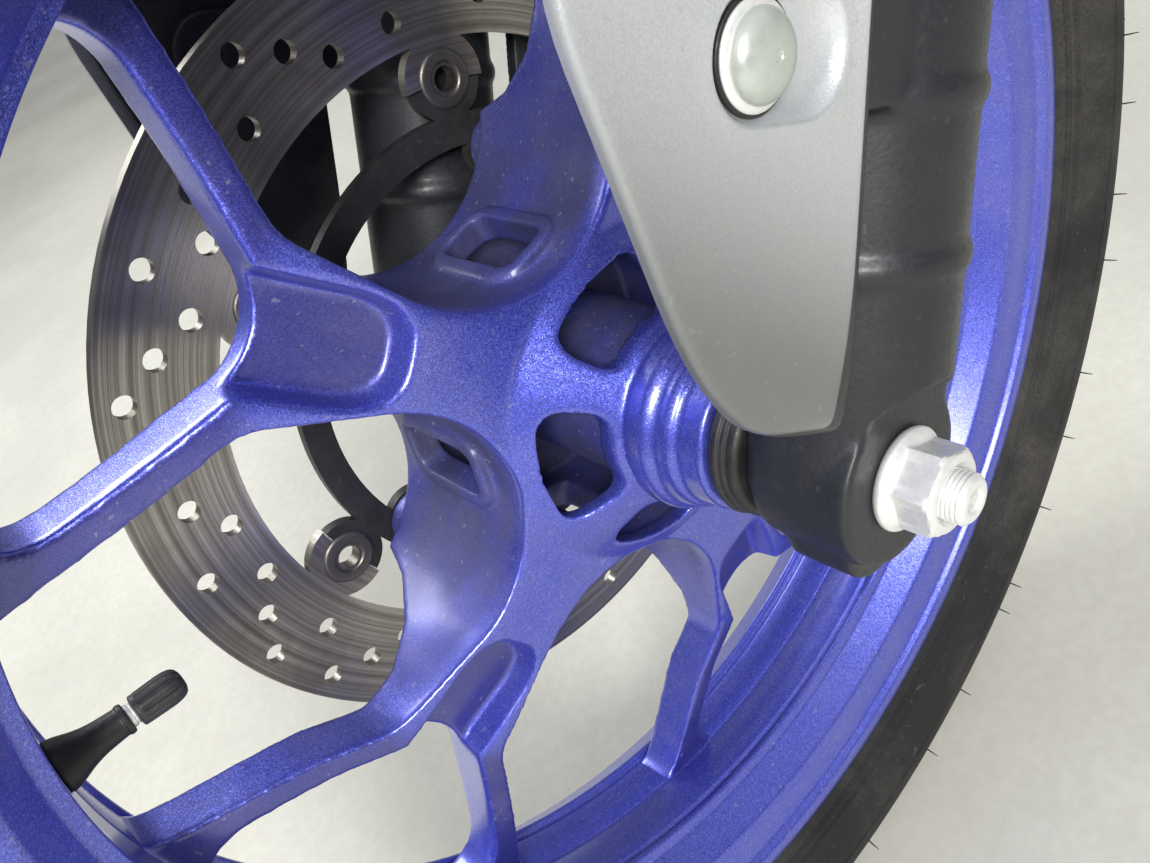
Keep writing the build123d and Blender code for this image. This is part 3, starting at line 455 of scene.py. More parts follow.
def wheel_paint():
    """Blue metallic paint under lacquer. Recesses get painted shade, and walls near the hub a dull
    film whose dark colour is partly painted shade.
    """
    f = Finish("wheel paint", Metallic=0.6, Coat_Weight=1.0, Coat_Roughness=0.2, Coat_IOR=1.55)
    flake = f.group(FLAKES, Scale=3600.0, Tilt=0.2)
    tone = f.mix(flake["Value"], DEEP_BLUE, BRIGHT_BLUE)
    tone = f.mix(f.math("MULTIPLY", flake["Sparkle"], 0.4), tone, SPARK_BLUE)
    radius, out = f.from_axle()
    inner, outer = (f.math("MULTIPLY_ADD", radius, *cone) for cone in FACE_CONES)
    below = f.math("SUBTRACT", f.math("MAXIMUM", inner, outer), out)
    _, sideways, _ = f.split(f.surface_normal())
    # Painted shade: faces that look outwards but lie below the spokes' faces, as pocket floors do,
    # turn darker.
    recess_shade = f.math("MULTIPLY", f.ramp(below, 0.0012, 0.0028), f.ramp(sideways, 0.80, 0.96))
    tone = f.mix(f.math("MULTIPLY", recess_shade, 0.75), tone, PAINTED_SHADE_BLUE)
    # Near the hub and below the spokes' faces: a dull film of dust whose dark colour is partly
    # painted shade.
    near_hub = f.ramp(radius, 0.150, 0.060)
    uneven = f.ramp(f.noise(f.place, 38.0, 5.0, 0.6), 0.30, 0.62, 0.45, 0.85)
    dull_film_and_shade = f.math("MULTIPLY", f.math("MULTIPLY", near_hub, f.ramp(below, 0.0015, 0.009)), uneven)
    tone = f.mix(dull_film_and_shade, tone, DARK_FILM_AND_SHADE)
    dust = f.group(DUST, Scale=26.0, Amount=0.14, Specks=0.4)
    tone = f.mix(dust["Mask"], tone, PALE_SPECKS)
    return f.out(Base_Color=tone, Metallic=f.ramp(dull_film_and_shade, 0.0, 1.0, 0.6, 0.1),
                 Roughness=f.ramp(dull_film_and_shade, 0.0, 0.8, 0.36, 0.6),
                 Coat_Weight=f.ramp(dull_film_and_shade, 0.0, 0.8, 1.0, 0.25), Normal=flake["Normal"])


def tyre_rubber():
    """Black rubber with grey dust in its patches."""
    f = Finish("tyre rubber", Specular_IOR_Level=0.35)
    grain = f.group(GRAIN, Scale=700.0, Depth=0.3)
    dust = f.group(DUST, Scale=14.0, Amount=0.45, Specks=0.35)
    tone = f.mix(dust["Mask"], colour(0.016, 0.016, 0.017), colour(0.13, 0.12, 0.10))
    return f.out(Base_Color=tone, Roughness=0.74, Normal=grain["Normal"])


def turned_disc():
    """Steel turned on a lathe and worn by the pads: fine rings, brown-grey."""
    f = Finish("turned disc", Metallic=0.9, Anisotropic=0.88, Anisotropic_Rotation=0.25)
    f.set(f.shader, Tangent=f.node("Tangent", direction_type="RADIAL", axis="Y").outputs[0])
    radius, _ = f.from_axle()
    rings = f.set(f.node("CombineXYZ"), X=radius).outputs[0]
    fine = f.noise(rings, 3200.0, 3.0, 0.6)
    wide = f.noise(rings, 420.0, 3.0, 0.7)
    patches = f.noise(f.place, 26.0, 4.0, 0.65)
    tone = f.mix(f.ramp(fine, 0.3, 0.7), colour(0.30, 0.28, 0.24), colour(0.55, 0.525, 0.47))
    tone = f.mix(f.ramp(wide, 0.38, 0.62, 0.0, 0.6), tone, colour(0.15, 0.13, 0.10))
    tone = f.mix(f.ramp(patches, 0.48, 0.72, 0.0, 0.4), tone, colour(0.13, 0.10, 0.07))
    bump = f.set(f.node("Bump"), Strength=0.5, Distance=0.0002, Height=fine)
    return f.out(Base_Color=tone, Roughness=f.ramp(wide, 0.3, 0.7, 0.28, 0.46),
                 Normal=bump.outputs[0])


def satin(name, base, roughness, dusty, metallic=1.0, grain_scale=900.0, depth=0.1,
          dirt=(0.30, 0.29, 0.27), specks=0.2, coat=0.0):
    """A plain metal, paint or rubber with its grain and the dust that settled on it."""
    f = Finish(name, Metallic=metallic, Coat_Weight=coat, Coat_Roughness=0.18)
    grain = f.group(GRAIN, Scale=grain_scale, Depth=depth)
    dust = f.group(DUST, Scale=40.0, Amount=dusty, Specks=specks)
    up = f.group(UPWARDS, Low=0.1, High=0.9)
    settled = f.math("MULTIPLY", dust["Mask"], f.ramp(up["Mask"], 0.0, 1.0, 0.5, 1.0))
    darker = colour(*[c * 0.78 for c in base])
    tone = f.mix(settled, f.mix(grain["Value"], darker, colour(*base)), colour(*dirt))
    varied = f.ramp(grain["Value"], 0.3, 0.7, roughness * 0.85, roughness * 1.15)
    return f.out(Base_Color=tone, Roughness=varied, Normal=grain["Normal"])


SILVER, BRIGHT_SILVER = colour(0.80, 0.82, 0.86), colour(0.94, 0.96, 1.0)
# The guard's greys are painted shade towards its tip.
SHADED_MIDDLE_GREY, SHADED_TIP_GREY = colour(0.42, 0.44, 0.45), colour(0.13, 0.137, 0.134)


def guard_paint():
    """Silver metallic paint with painted shade: it turns darker towards the guard's tip and its
    front edge.
    """
    f = Finish("guard paint", Metallic=0.45, Coat_Weight=0.3, Coat_Roughness=0.35)
    flake = f.group(FLAKES, Scale=3000.0, Tilt=0.14)
    tone = f.mix(flake["Value"], SILVER, BRIGHT_SILVER)
    ahead, _, up = f.split(f.mapping(f.centred, Rotation=(0, RAKE, 0)))
    down = f.math("ADD", f.math("MULTIPLY", ahead, 0.45), f.math("MULTIPLY", up, -0.90))
    # Painted shade: darker down the panel, in place of the falling reflection that its real curve
    # gives.
    tone = f.mix(f.ramp(down, -0.135, -0.050, 0.0, 0.75), tone, SHADED_MIDDLE_GREY)
    tone = f.mix(f.ramp(down, -0.065, -0.012, 0.0, 0.85), tone, SHADED_TIP_GREY)
    dust = f.group(DUST, Scale=60.0, Amount=0.10, Specks=0.25)
    tone = f.mix(dust["Mask"], tone, colour(0.42, 0.40, 0.37))
    return f.out(Base_Color=tone, Roughness=0.40, Normal=flake["Normal"])


finishes = {
    "wheel_paint": wheel_paint(),
    "tyre_rubber": tyre_rubber(),
    "disc_steel": turned_disc(),
    "carrier_black": satin("carrier black", (0.022, 0.021, 0.021), 0.5, 0.5, metallic=0.2,
                           grain_scale=800.0, depth=0.15, dirt=(0.13, 0.115, 0.095), specks=0.5),
    "bobbin_steel": satin("bobbin steel", (0.20, 0.185, 0.165), 0.42, 0.4, metallic=0.9,
                          grain_scale=800.0, depth=0.15, dirt=(0.12, 0.105, 0.085), specks=0.3),
    "axle_steel": satin("bearing steel", (0.6, 0.6, 0.6), 0.25, 0.1),
    "plated_steel": satin("plated steel", (0.92, 0.93, 0.91), 0.42, 0.1, metallic=0.45,
                          grain_scale=700.0, depth=0.12, dirt=(0.55, 0.55, 0.5), specks=0.0),
    "seal_rubber": satin("black rubber", (0.016, 0.016, 0.017), 0.5, 0.35, metallic=0.0,
                         grain_scale=700.0, depth=0.18, dirt=(0.14, 0.13, 0.12), specks=0.3),
    "slider_paint": satin("slider paint", (0.015, 0.017, 0.021), 0.48, 0.15, metallic=0.0,
                          grain_scale=700.0, depth=0.2, dirt=(0.10, 0.10, 0.10), specks=0.3,
                          coat=0.1),
    "guard_paint": guard_paint(),
    "black_plastic": satin("black plastic", (0.03, 0.03, 0.033), 0.5, 0.2, metallic=0.0,
                           grain_scale=500.0, depth=0.3),
    "pad_iron": satin("pad iron", (0.15, 0.14, 0.13), 0.6, 0.3, metallic=0.4),
}
BOLT_PEARL = satin("plated bolt head", (0.54, 0.58, 0.53), 0.36, 0.1, metallic=0.35,
                   grain_scale=500.0, depth=0.08, dirt=(0.6, 0.62, 0.56), specks=0.0, coat=0.6)

# The CAD's own nodes take these finishes. The pieces below stand for some of them.
for part in frame["record"]["subparts"]:
    mesh = nodes[part["node"]].data
    mesh.materials.clear()
    mesh.materials.append(finishes[part["material_slot"]])


def dress(piece, body, slot, replaced):
    """Gives a finished piece its material and its body, and hides the CAD node that it stands for.
    """
    piece.data.materials.clear()
    piece.data.materials.append(finishes[slot])
    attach(piece, body)
    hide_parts(replaced)
    return piece


# The wheel's casting. Its outer end is stretched until it passes into the rim's barrel.
SPOKES_END, CUT_HALF_WIDTH = 194.0, 80
STRETCH, STRETCH_START, STRETCH_LENGTH = 7.4, 150, 40


def wheel_spokes():
    """Spokes and hub, cut free of the rim, which is turned by itself."""
    cut = [(0, -CUT_HALF_WIDTH), (SPOKES_END, -CUT_HALF_WIDTH), (SPOKES_END, CUT_HALF_WIDTH),
           (0, CUT_HALF_WIDTH)]
    piece = cast("wheel_spokes", "wheel_casting", voxel=0.82, rounds=18, triangles=195000,
                 within=lathe("cut", cut, segments=240))
    for vertex in piece.data.vertices:
        out = vertex.co - WHEEL_CENTRE
        radius = hypot(out.x, out.z) / MM
        t = min(1.0, max(0.0, (radius - STRETCH_START) / STRETCH_LENGTH))
        longer = 1 + STRETCH * t * t * (3 - 2 * t) / max(radius, 1)
        vertex.co = WHEEL_CENTRE + Vector((out.x * longer, out.y, out.z * longer))
    return piece


# Half the rim's section from its middle: barrel, well, bead seat, lip, and back along the inside
RIM_HALF = ((196.4, 0), (196.5, 0.8), (196.2, 1.2), (196.6, 16.4, 1.0), (197.6, 17.4, 0.6),
            (197.6, 18.6, 0.6), (195.6, 19.8, 0.8), (195.5, 21.8, 1.0), (199.8, 23.2, 1.2),
            (207.8, 35.2, 1.6), (212.2, 36.6, 2.0), (222.4, 38.0, 1.5), (224.4, 41.4, 1.2),
            (227, 42, 1.5), (231.7, 42, 1.7), (231.9, 35.8, 1.2), (218.4, 35, 2.0),
            (216.9, 21.2, 4.0), (203.5, 13.2, 3.0))
HUB_END_LEFT = ((18.2, 66.0), (24.2, 66.0, 1.0), (25.6, 65.0, 1.0), (25.9, 57.0, 2.0),
                (27.6, 55.6, 0.8), (28.4, 53.6, 0.8), (28.4, 50.6, 1.6), (31.2, 47.6, 1.8),
                (31.2, 42.0), (18.2, 42.0))
HUB_END_RIGHT = ((18.2, -48.0), (27.4, -48.0, 1.0), (28.4, -47.0, 1.0), (28.4, -38.0),
                 (18.2, -38.0))


def rim():
    """The rim, rounded at its lips and steps. Both halves share the point in the middle."""
    outline = soften(RIM_HALF)
    mirrored = [Vector((point.x, -point.y)) for point in reversed(outline) if point.y > 0.01]
    return lathe("rim", outline + mirrored, segments=360, ring=True, crease=40)


def hub_collars():
    """The turned rings round both ends of the hub, which stay sharper than the casting."""
    left = lathe("end", soften(HUB_END_LEFT, 3), segments=160, ring=True)
    right = lathe("end", soften(HUB_END_RIGHT, 3), segments=160, ring=True)
    return join("hub_collars", left, right)


# The tyre. Its section runs from the left bead over the crown, and back through the inside.
TYRE_WALL = ((218.7, 24.2), (218.7, 34.6), (231.2, 34.6), (235.5, 41.5), (244.2, 49.0),
             (255, 53.8), (264, 53.6))
TYRE_INSIDE = ((230, 27), (246, 44), (268, 44), (279, 32), (284, 12))
CROWN_ARC, CROWN_HALF_ANGLE, CROWN_STEPS = 68.68, 0.8815, 29
GROOVE_PITCHES, GROOVE_DEPTH, GROOVE_FLOOR = 36, 4.6, 264
GROOVE_SLANT, SLANT_START, SLANT_LENGTH = -0.75, 6, 40
# One pitch's grid lines, as shares of it, and the lines that sink between two distances out
PITCH_LINES = (0.0, 0.10, 0.125, 0.165, 0.19, 0.3, 0.45, 0.56, 0.58, 0.61, 0.63, 0.8)
LONG_GROOVE, SHORT_GROOVE = (8.0, 45.0), (22.0, 46.0)
SUNK_LINES = {2: LONG_GROOVE, 3: LONG_GROOVE, 8: SHORT_GROOVE, 9: SHORT_GROOVE}


def tyre_section():
    """The tyre's closed section as (radius, height) points."""
    wall = [Vector(point) for point in TYRE_WALL]
    for _ in range(2):
        cut = wall[:2]
        for a, b in zip(wall[1:-1], wall[2:]):
            cut += [a * 0.75 + b * 0.25, a * 0.25 + b * 0.75]
        wall = cut + [wall[-1]]
    angles = [CROWN_HALF_ANGLE * (1 - step / CROWN_STEPS) for step in range(CROWN_STEPS + 1)]
    outer = wall + [Vector((TYRE_RADIUS - CROWN_ARC * (1 - cos(a)), CROWN_ARC * sin(a)))
                    for a in angles]
    outer += [Vector((point.x, -point.y)) for point in reversed(outer[:-1])]
    inner = [Vector((radius, -height)) for radius, height in TYRE_INSIDE]
    return outer + inner + [Vector(point) for point in reversed(TYRE_INSIDE)]


def groove_cut(line, radius, far):
    """How deep a grid line sinks at a distance from the tyre's middle."""
    if line not in SUNK_LINES or radius <= GROOVE_FLOOR:
        return 0.0
    low, high = SUNK_LINES[line]
    opening = min(1.0, max(0.0, (far - low) / 2.5))
    closing = min(1.0, max(0.0, (high - far) / 3.5))
    return GROOVE_DEPTH * (opening * closing)


def tyre():
    """Rubber from bead to bead, with slanted grooves cut into the crown along sheared lines."""
    section = tyre_section()
    wide = len(PITCH_LINES) * GROOVE_PITCHES
    verts, faces = [], []
    for radius, height in section:
        far = abs(height)
        lean = GROOVE_SLANT * max(0.0, far - SLANT_START) / SLANT_LENGTH
        if height < 0:
            lean += 0.5 * min(1.0, far / SLANT_START)
        for pitch in range(GROOVE_PITCHES):
            for line, share in enumerate(PITCH_LINES):
                a = 2 * pi * (pitch + share + lean) / GROOVE_PITCHES
                reach = radius - groove_cut(line, radius, far)
                verts.append(WHEEL_CENTRE + Vector((-reach * cos(a), height, reach * sin(a))) * MM)
    for row in range(len(section)):
        after = (row + 1) % len(section)
        for column in range(wide):
            side = (column + 1) % wide
            faces.append((row * wide + column, row * wide + side,
                          after * wide + side, after * wide + column))
    return closed_mesh("tyre_rubber", verts, faces, 38)


def sidewall_ribs():
    """Thin raised lines round both walls of the tyre."""
    rings = []
    for way in (1, -1):
        for radius, height in ((238.3, 44.6), (241.2, 47.0), (259.0, 53.7)):
            outline = [(radius - 0.8, way * (height - 1.2)), (radius - 0.3, way * (height + 0.5)),
                       (radius + 0.6, way * (height + 0.5)), (radius + 1.0, way * (height - 1.2))]
            rings.append(lathe("rib", outline, segments=240, ring=True))
    return join("sidewall_ribs", *rings)


# Rows of moulding hairs on each side: radius, distance out, slant and how many
HAIR_ROWS = ((283.5, 34.0, 0.75, 40), (277.0, 44.0, 0.55, 52), (267.0, 52.6, 1.0, 46))
HAIR_OUTLINE = ((0.0, 0), (0.42, 0), (0.33, 4.0), (0.2, 7.0), (0.0, 7.2))


def moulding_hairs():
    """Short rubber hairs left by the mould's vents, unevenly spaced."""
    rows = []
    for row, (radius, out, slant, count) in enumerate(HAIR_ROWS):
        for way in (1, -1):
            axis = (Vector((-1, 0, 0)) * cos(slant) + LEFT * sin(slant) * way).normalized()
            root = WHEEL_CENTRE + Vector((-radius, way * out, 0)) * MM - axis * MM
            hair = lathe("hair", HAIR_OUTLINE, root, axis, 5)
            rows.append(repeat(hair, count, finishes["tyre_rubber"], 0.8, row * 2 + (way > 0)))
    return join("moulding_hairs", *rows)


# The disc's bobbins
BOBBIN_CIRCLE, FIRST_BOBBIN, BOBBINS = 98.0, 73.5, 6


def brake_bobbins():
    """Flanged rings that hold the disc on its carrier."""
    outline = soften([(4.2, -62.9), (9.2, -62.9, 0.6), (10.0, -62.2, 0.4), (10.0, -57.8, 0.4),
                      (9.2, -57.1, 0.6), (5.9, -57.1, 0.4), (5.3, -57.7, 0.3),
                      (4.2, -57.7, 0.2)], 3)
    first = lathe("bobbins", outline, on_wheel(BOBBIN_CIRCLE, FIRST_BOBBIN, 0), segments=48,
                  ring=True)
    return repeat(first, BOBBINS, finishes["bobbin_steel"])


# The valve, which stands on the barrel and points at the hub
VALVE_ANGLE = 169.4
THREAD_TOP, THREAD_END, THREAD_PITCH = 175.8, 173.0, 0.7
CAP_RIBS, RIB_HEIGHT, RIB_DEPTH, RIBS_START = 12, 0.25, 0.2, 173.4


def valve():
    """The rubber stem, the thread above it and the ribbed cap."""
    axis = (on_wheel(1, VALVE_ANGLE, 0) - WHEEL_CENTRE).normalized()
    rubber = soften([(0, 206.0), (7.6, 206.0, 1), (8.4, 204.0, 0.8), (6.4, 203.4, 0.5),
                     (6.4, 196.6, 0.4), (7.6, 196.0, 0.9), (7.2, 193.6, 2.0), (4.6, 187.0, 5.0),
                     (4.0, 178.6, 0.8), (4.4, 178.2, 0.2), (4.3, 176.8, 0.5), (3.0, 176.6),
                     (0, 176.6)], 6)
    stem = lathe("valve_rubber", rubber, WHEEL_CENTRE, axis, 64)
    turned = [(0, 178.0), (3.3, 178.0), (3.3, 176.0)]
    height = THREAD_TOP
    while height > THREAD_END:
        turned += [(3.2, height), (2.85, height - THREAD_PITCH / 2)]
        height -= THREAD_PITCH
    turned += [(2.8, 168.0), (0, 168.0)]
    thread = lathe("valve_thread", turned, WHEEL_CENTRE, axis, 48)

    def ribs(radius, height, angle):
        if radius < 2.6 or height > 173.2:
            return radius
        raised = (angle * CAP_RIBS / pi) % 2 < 1
        change = RIB_HEIGHT if raised else -RIB_DEPTH
        return radius + change * min(1.0, (RIBS_START - height) / 1.2)

    outline = soften([(0, 174.8), (3.7, 174.8), (4.5, 174.4, 0.3), (4.5, 173.2, 0.2),
                      (4.4, 172.6), (4.5, 165.0, 1.5), (3.9, 162.4, 1.4), (2.4, 161.2, 0.8),
                      (0, 161.1)], 3)
    cap = lathe("valve_cap_ribbed", outline, WHEEL_CENTRE, axis, 144, shape=ribs, crease=28)
    return stem, thread, cap


# The axle, its nut and the spacer, by distance from the wheel's middle
THREAD_START, THREAD_LIMIT, AXLE_PITCH = 116.0, 132.0, 1.25
NUT_ACROSS, NUT_TURN, NUT_FLATS, NUT_BLEND = 22.0, radians(25), 116.9, 1.2


def axle_with_thread():
    """Head, plain shank, thread and a hollow end."""
    outline = [Vector((0, -122.5))]
    outline += soften([(5.9, -122.5), (11.4, -122.5, 1.5), (13.0, -120.5, 1.2),
                       (13.0, -113.5, 0.4)], 3)
    outline += [Vector((7.5, -113.5)), Vector((7.5, 111.5)), Vector((7.05, 113.5))]
    height = THREAD_START
    while height < THREAD_LIMIT:
        outline += [Vector((7.05, height)), Vector((6.45, height + 0.62))]
        height += AXLE_PITCH
    outline += soften([(7.0, 132.4), (5.6, 134.0, 0.8), (3.6, 134.0, 0.5), (3.0, 133.0, 0.5),
                       (3.0, 125.0)], 3)
    outline += [Vector((0, 124.2))]
    return lathe("axle_thread", outline, segments=72, crease=50)


def hexagon(angle, across):
    """How far the side of a hexagon lies from its middle at an angle."""
    part = (angle + pi / 6) % (pi / 3) - pi / 6
    return across / 2 / cos(part)


def axle_nut():
    """Flange, chamfered hexagon and the low crown of the nut."""
    outline = soften([(7.2, 113.5), (13.9, 113.5, 0.5), (14.5, 114.6, 0.4), (14.5, 115.8, 0.6),
                      (12.9, 117.0, 0.8), (12.7, 118.0)], 3)
    outline += [Vector(point) for point in
                ((12.75, 118.2), (12.75, 125.6), (12.3, 126.6), (11.6, 127.4), (10.8, 128.0),
                 (10.0, 128.4), (8.6, 128.5), (7.9, 128.0), (7.2, 127.2))]

    def nut_shape(radius, height, angle):
        if height < NUT_FLATS:
            return radius
        blend = min(1.0, (height - NUT_FLATS) / NUT_BLEND)
        flat = min(radius, hexagon(angle + NUT_TURN, NUT_ACROSS))
        return radius * (1 - blend) + flat * blend

    return lathe("hub_nut", outline, segments=144, ring=True, crease=24, shape=nut_shape)


def spacer_collar():
    """The black collar with its grooves, between the hub and the slider."""
    outline = soften([(7.6, 62.4), (12.0, 62.4, 0.3), (12.0, 66.1), (22.6, 66.1, 1.2),
                      (24.0, 67.4, 1.0), (24.0, 68.6, 0.3), (24.9, 69.1, 0.5), (24.9, 70.3, 0.5),
                      (24.0, 70.8, 0.3), (24.0, 72.2, 0.3), (23.2, 72.6, 0.3), (23.2, 73.6, 0.3),
                      (24.0, 74.0, 0.3), (24.0, 75.6, 1.0), (22.4, 77.0, 0.8), (18.5, 77.0),
                      (18.5, 78.0), (7.6, 78.0)], 3)
    return lathe("spacer_collar", outline, segments=120, ring=True)


# The guards, by distance behind the slider's centre line and along it
GUARD_OUTLINE = ((-33.5, 300.0, 6), (-34.5, 50.0, 12), (-36.5, 26.2, 5), (-66.5, 34.5, 9),
                 (-80.0, 47.0, 9), (-90.0, 62.0, 12), (-115.5, 120.0, 12), (-112.0, 240.0, 14),
                 (-76.0, 300.0, 8))
GUARD_BOLTS = (Vector((-70.5, 108.6)), Vector((-68.0, 264.0)))
GUARD_FACE, GUARD_THICKNESS, GUARD_ROUND = 118.6, 3.0, 1.6
GUARD_CROWN, CROWN_MIDDLE, CROWN_HALF_WIDTH = 1.4, -72, 42
TIP_FALL, TIP_START, TIP_LENGTH = 2.6, 70, 44
# A scoop runs rearward from each bolt, with a low ridge round it, placed by shares of its radius
SCOOP_REACH, SCOOP_RADIUS, SCOOP_DEPTH = Vector((15.0, -0.6)), 11.6, 3.2
RIDGE_HEIGHT, RIDGE_AT, RIDGE_HALF_WIDTH = 0.35, 1.06, 0.1
# The black lip under each panel, which partly stands in for the shadow in the gap behind it
LIP_THICKNESS, LIP_SHIFT, LIP_DROP, LIP_HIGHEST = 2.6, Vector((4.8, -2.5)), 1.0, 117.6
# Where the panel's points lie: inwards of its edge, in rings round the scoops, and on a grid
EDGE_STEP, SHORTEST_STEP, EDGE_INSETS = 6, 0.4, (0.3, 0.8, 1.5, 2.8, 5.0)
SCOOP_RINGS = (0.1, 2, 4, 6, 7.8, 9.2, 10.2, 10.9, 11.4, 11.9, 12.6, 14)
RING_STEPS, REACH_STEPS = 56, 8
GRID_STEP, GRID_COLUMNS, GRID_ROWS = 4.0, range(-30, -5), range(5, 76)
CLEAR_OF_SCOOP, CLEAR_OF_EDGE = 15.5, 6.5


def edge_distance(outline, place):
    """How far a place lies from an outline."""
    nearest = 1e9
    for index, b in enumerate(outline):
        a = outline[index - 1]
        run = b - a
        t = max(0.0, min(1.0, (place - a).dot(run) / run.length_squared))
        nearest = min(nearest, (place - a - run * t).length)
    return nearest


def inside(outline, place):
    """Whether a place lies within an outline."""
    odd = False
    for index, b in enumerate(outline):
        a = outline[index - 1]
        if (a.y > place.y) != (b.y > place.y):
            if place.x < (b.x - a.x) * (place.y - a.y) / (b.y - a.y) + a.x:
                odd = not odd
    return odd


def from_scoop(place):
    """How far a place lies from the nearest scoop's middle line."""
    least = 1e9
    for bolt in GUARD_BOLTS:
        t = max(0.0, min(1.0, (place - bolt).dot(SCOOP_REACH) / SCOOP_REACH.length_squared))
        least = min(least, (place - bolt - SCOOP_REACH * t).length)
    return least


def guard_edge():
    """The guard's outline in short steps, with the panel on its left."""
    rounded = soften(GUARD_OUTLINE, 5, closed=True)
    rounded = [point for index, point in enumerate(rounded)
               if (point - rounded[index - 1]).length > SHORTEST_STEP]
    edge = []
    for index, point in enumerate(rounded):
        before = rounded[index - 1]
        parts = max(1, int((point - before).length / EDGE_STEP))
        edge += [before.lerp(point, (step + 1) / parts) for step in range(parts)]
    area = sum(edge[i - 1].x * edge[i].y - edge[i].x * edge[i - 1].y for i in range(len(edge)))
    return edge if area > 0 else edge[::-1]


def guard_points(edge):
    """Where the panel gets its points: dense at its rim and at the scoops, even between them."""
    count = len(edge)
    inward = []
    for index in range(count):
        along = (edge[(index + 1) % count] - edge[index - 1]).normalized()
        inward.append(Vector((-along.y, along.x)))
    points = list(edge)
    for inset in EDGE_INSETS:
        for point, side in zip(edge, inward):
            place = point + side * inset
            if inside(edge, place) and edge_distance(edge, place) > inset - 0.1:
                points.append(place)
    for bolt in GUARD_BOLTS:
        for ring in SCOOP_RINGS:
            for k in range(-RING_STEPS // 4, RING_STEPS * 3 // 4):
                a = 2 * pi * (k + 0.5) / RING_STEPS
                end = bolt + (SCOOP_REACH if cos(a) > 0 else Vector((0, 0)))
                points.append(end + Vector((cos(a), sin(a))) * ring)
            for step in range(1, REACH_STEPS):
                for way in (-1, 1):
                    middle = bolt + SCOOP_REACH * step / REACH_STEPS
                    points.append(middle + Vector((0, way * ring)))
    for column in GRID_COLUMNS:
        for row in GRID_ROWS:
            place = Vector((column * GRID_STEP, row * GRID_STEP))
            clear = from_scoop(place) > CLEAR_OF_SCOOP and inside(edge, place)
            if clear and edge_distance(edge, place) > CLEAR_OF_EDGE:
                points.append(place)
    return points


def guard_height(edge, place):
    """The panel's face and how far its rounded rim falls from it."""
    near = edge_distance(edge, place)
    fall = 0.0
    if near < GUARD_ROUND:
        fall = GUARD_ROUND - sqrt(max(0.0, GUARD_ROUND ** 2 - (GUARD_ROUND - near) ** 2))
    crown = GUARD_CROWN * (1 - ((place.x - CROWN_MIDDLE) / CROWN_HALF_WIDTH) ** 2)
    tip = TIP_FALL * (max(0.0, TIP_START - place.y) / TIP_LENGTH) ** 2
    away = from_scoop(place) / SCOOP_RADIUS
    if away < 1:
        scoop = SCOOP_DEPTH * (1 - away ** 5)
    else:
        scoop = -RIDGE_HEIGHT * max(0.0, 1 - ((away - RIDGE_AT) / RIDGE_HALF_WIDTH) ** 2)
    return GUARD_FACE + crown - tip - scoop, fall


def guard_shape():
    """A pressed panel: rounded rim, slight crown, falling tip and a scoop beside each bolt."""
    edge = guard_edge()
    count = len(edge)
    border = [(i, (i + 1) % count) for i in range(count)]
    flat, _, triangles, _, _, _ = delaunay_2d_cdt(guard_points(edge), border,
                                                  [list(range(count))], 1, 1e-4)
    return [(Vector(place), *guard_height(edge, Vector(place))) for place in flat], triangles


def plate(name, triangles, tops, bottoms):
    """A closed plate of triangles between points above and the same points below."""
    total = len(tops)
    faces = [tuple(face) for face in triangles]
    faces += [tuple(total + v for v in reversed(face)) for face in triangles]
    sides = dict.fromkeys(side for face in triangles for side in zip(face, [*face[1:], face[0]]))
    faces += [(b, a, a + total, b + total) for a, b in sides if (b, a) not in sides]
    return closed_mesh(name, tops + bottoms, faces, 50)


def guard_panel(name, shape, way):
    """The silver panel on one side."""
    places, triangles = shape
    tops = [on_fork(place.x, place.y, way * (face - fall)) for place, face, fall in places]
    bottoms = [on_fork(place.x, place.y, way * (face - GUARD_THICKNESS))
               for place, face, _ in places]
    return plate(name, triangles, tops, bottoms)


def guard_lip_and_shadow(name, shape, way):
    """The black edge behind and below the panel on one side: a dark plate that partly stands in for
    the shadow in the gap there.
    """
    places, triangles = shape
    tops, bottoms = [], []
    for place, face, fall in places:
        place = place + LIP_SHIFT
        height = min(face, LIP_HIGHEST) - LIP_DROP
        tops.append(on_fork(place.x, place.y, way * (height - fall)))
        bottoms.append(on_fork(place.x, place.y, way * (height - LIP_THICKNESS)))
    return plate(name, triangles, tops, bottoms)


# The guards' bolts. Their outlines count from the seat. The dome has a small mark at its middle.
BOLT_SEAT = 119.3
DOME_RADIUS, DOME_FOOT, DOME_HEIGHT = 8.2, 1.7, 3.8
FLANGE = soften([(0, -8.0), (2.9, -8.0), (2.9, 0.0), (9.5, 0.0, 0.3), (9.8, 0.7, 0.4),
                 (8.9, 1.3, 0.5), (7.0, 1.5), (0, 1.5)], 3)
DARK_RING = soften([(8.4, -5.0), (10.1, -5.0), (10.4, 0.3, 0.35), (8.4, 0.4)], 3)
DOME = [(0, 0.5), (8.0, 0.5), (DOME_RADIUS, 1.6)]
DOME += [(DOME_RADIUS * cos(t) ** 0.8, DOME_FOOT + DOME_HEIGHT * sin(t))
         for t in [radians(7.5 * k) for k in range(1, 11)]]
DOME += [(1.2, 5.42), (1.0, 5.15), (0.0, 5.0)]


def at_bolts(name, outline, way, ring=False):
    """Turns an outline on the seat of each of one guard's bolts."""
    turned = [lathe("turned", outline, on_fork(*bolt, way * BOLT_SEAT), LEFT * way, 72, ring=ring)
              for bolt in GUARD_BOLTS]
    return join(name, *turned)


